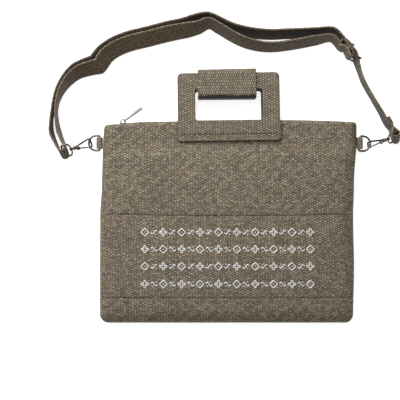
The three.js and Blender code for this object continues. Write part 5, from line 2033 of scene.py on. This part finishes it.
    def build(self) -> None:
        """Builds the strap, its stitches and the slide."""
        curve, wide, thick = self.line(self.station_step)
        half_w, half_t = self.width / 2.0, self.thickness / 2.0
        section = rounded_contour(self.width, self.thickness, 1.25, 4, 8)
        section[:, 1] *= 1.0 - 0.12 * np.clip(np.abs(section[:, 0]) / half_w, 0.0, 1.0) ** 6
        points = curve[:, None] + section[None, :, :1] * wide[:, None] + section[None, :, 1:] * thick[:, None]
        lift = np.maximum(0.0, self.rest - points[..., 2].min(axis=1))[:, None]
        points[..., 2] += lift
        curve = curve + lift * UP
        points = capped(points)
        uv = uv_grid(arc_lengths(points.mean(axis=1)), arc_lengths(section, True))
        strap = mesh_object("long_strap", grid_patch(points, uv, close_v=True), crease=60.0)
        dress(strap, self.finishes.strap, "bag", "strap", "shoulder_strap")
        side, face = self.thickness + 1.4, self.width - 2.5
        middle = side + face / 2.0
        # Painted highlight: the strap's narrow sides in the lighter leather.
        paint(strap, self.finishes.strap_edge_highlight, lambda normals, places: places[:, 1] % (side + face) < side)
        # Painted shade: one broad face of the strap in near-black leather, for the shadow between its layers.
        paint(strap, self.finishes.strap_face_shade, lambda normals, places: np.abs(places[:, 1] - middle) < face / 2.0)
        rows = []
        for edge in (-1.0, 1.0):
            for up in (-1.0, 1.0):
                line = curve + wide * edge * (half_w - self.stitch_inset) + thick * up * (half_t - 0.16)
                rows.append(stitches(line[3:-3], thick[3:-3] * up, STRAP_STITCH))
        sewn_piece("strap_stitches", rows, self.finishes.sewing, "strap")
        self.slide()

    def slide(self) -> None:
        """Three-bar slide: end bars, middle bar and two bowed rails of round wire."""
        frame = self.slide_frame()
        axes = np.stack([frame["along"], frame["out"], frame["width"]])
        reach, half = (self.slide_length - self.slide_wire) / 2.0, self.slide_half

        def place(*parts: Array | float) -> Array:
            return frame["middle"] + np.stack(np.broadcast_arrays(*parts), axis=-1) @ axes

        span, wire = np.linspace(-half, half, 12), self.slide_wire / 2.0
        bars = ((-reach, self.bow), (reach, self.bow), (0.0, 0.0))
        pieces = [tube(place(u, v, span), frame["along"], wire) for u, v in bars]
        share = np.linspace(-1.08, 1.08, 49)
        sweep = self.bow * np.minimum(1.0, np.abs(share)) ** 1.5
        pieces += [tube(place(share * reach, sweep, side * half), frame["width"], wire) for side in (-1.0, 1.0)]
        metal_piece(self.finishes, "slide_buckle", pieces, "strap_slide")


# Stage


@dataclass
class Stage:
    """Pale floor, soft studio light and the camera straight above, as in the photograph."""

    eye: tuple[float, float, float] = (-38.6, 31.0, 1100.0)
    view_width: float = 574.5
    sensor: float = 36.0
    floor_reach: float = 6000.0

    def build(self) -> None:
        """Builds floor, lights, world and camera."""
        scene = bpy.context.scene
        scene.view_settings.view_transform = "Standard"
        self.floor()
        self.light("key", (-0.7, 1.3, 1.1), 1.3, 41.0)
        self.light("top", (-0.2, 0.35, 2.2), 1.6, 20.0)
        world = bpy.data.worlds.new("studio")
        world.use_nodes = True
        back = world.node_tree.nodes["Background"]
        back.inputs["Color"].default_value = (1.0, 1.0, 1.0, 1.0)
        back.inputs["Strength"].default_value = 0.11
        scene.world = world
        camera = bpy.data.cameras.new("camera")
        camera.sensor_width = self.sensor
        camera.lens = self.sensor * self.eye[2] / self.view_width
        camera.clip_end = 20.0
        holder = bpy.data.objects.new("camera", camera)
        holder.location = [part * MM for part in self.eye]
        scene.collection.objects.link(holder)
        scene.camera = holder

    def floor(self) -> None:
        """Large pale floor with a barely visible grain."""
        steps = np.linspace(-self.floor_reach, self.floor_reach, 3)
        x, y = np.meshgrid(steps, steps, indexing="ij")
        floor = mesh_object("floor", grid_patch(np.stack([x, y, 0.0 * x], axis=-1)), outward=UP)
        material, g, shader = base_material("pale_floor")
        grain = g.noise(g.object_place(), 6.0, 3.0)
        g.fill(
            shader,
            Base_Color=g.mix(grain, (0.56, 0.56, 0.56), (0.58, 0.58, 0.58)),
            Roughness=0.9,
            Emission_Color=(1.0, 1.0, 1.0, 1.0),
            Emission_Strength=0.78,
        )
        floor.data.materials.append(material)

    def light(self, name: str, place: tuple[float, float, float], size: float, power: float) -> None:
        """Square softbox that looks at the bag's middle.

        Args:
            name: name of the light.
            place: where it stands, in metres.
            size: length of its side, in metres.
            power: watts.
        """
        lamp = bpy.data.lights.new(name, "AREA")
        lamp.size = size
        lamp.energy = power
        holder = bpy.data.objects.new(name, lamp)
        holder.location = place
        aim = unit(np.array([0.0, 0.0, 0.02]) - np.array(place))
        pitch = math.acos(float(-aim[2]))
        holder.rotation_euler = (pitch, 0.0, math.atan2(float(aim[0]), float(-aim[1])) + math.pi)
        bpy.context.scene.collection.objects.link(holder)


def main() -> None:
    """Builds the bag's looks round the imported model."""
    logging.basicConfig(level=logging.INFO, format="%(message)s")
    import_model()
    form = BagForm()
    finishes = Finishes()
    Stage().build()
    Shell(form, finishes).build()
    Ornament(form, finishes).build()
    Zip(form, finishes).build()
    Handles(form, finishes).build()
    left = Fitting(
        form, finishes, Side.LEFT, ring_heading=180.0, seat=175.0, heading=198.0, roll=40.0, eye_roll=28.0
    )
    right = Fitting(
        form, finishes, Side.RIGHT, ring_heading=-8.0, seat=-15.0, heading=16.5, roll=58.0, eye_roll=24.0
    )
    left.build()
    right.build()
    Strap(form, finishes, left, right).build()


if __name__ == "__main__":
    main()
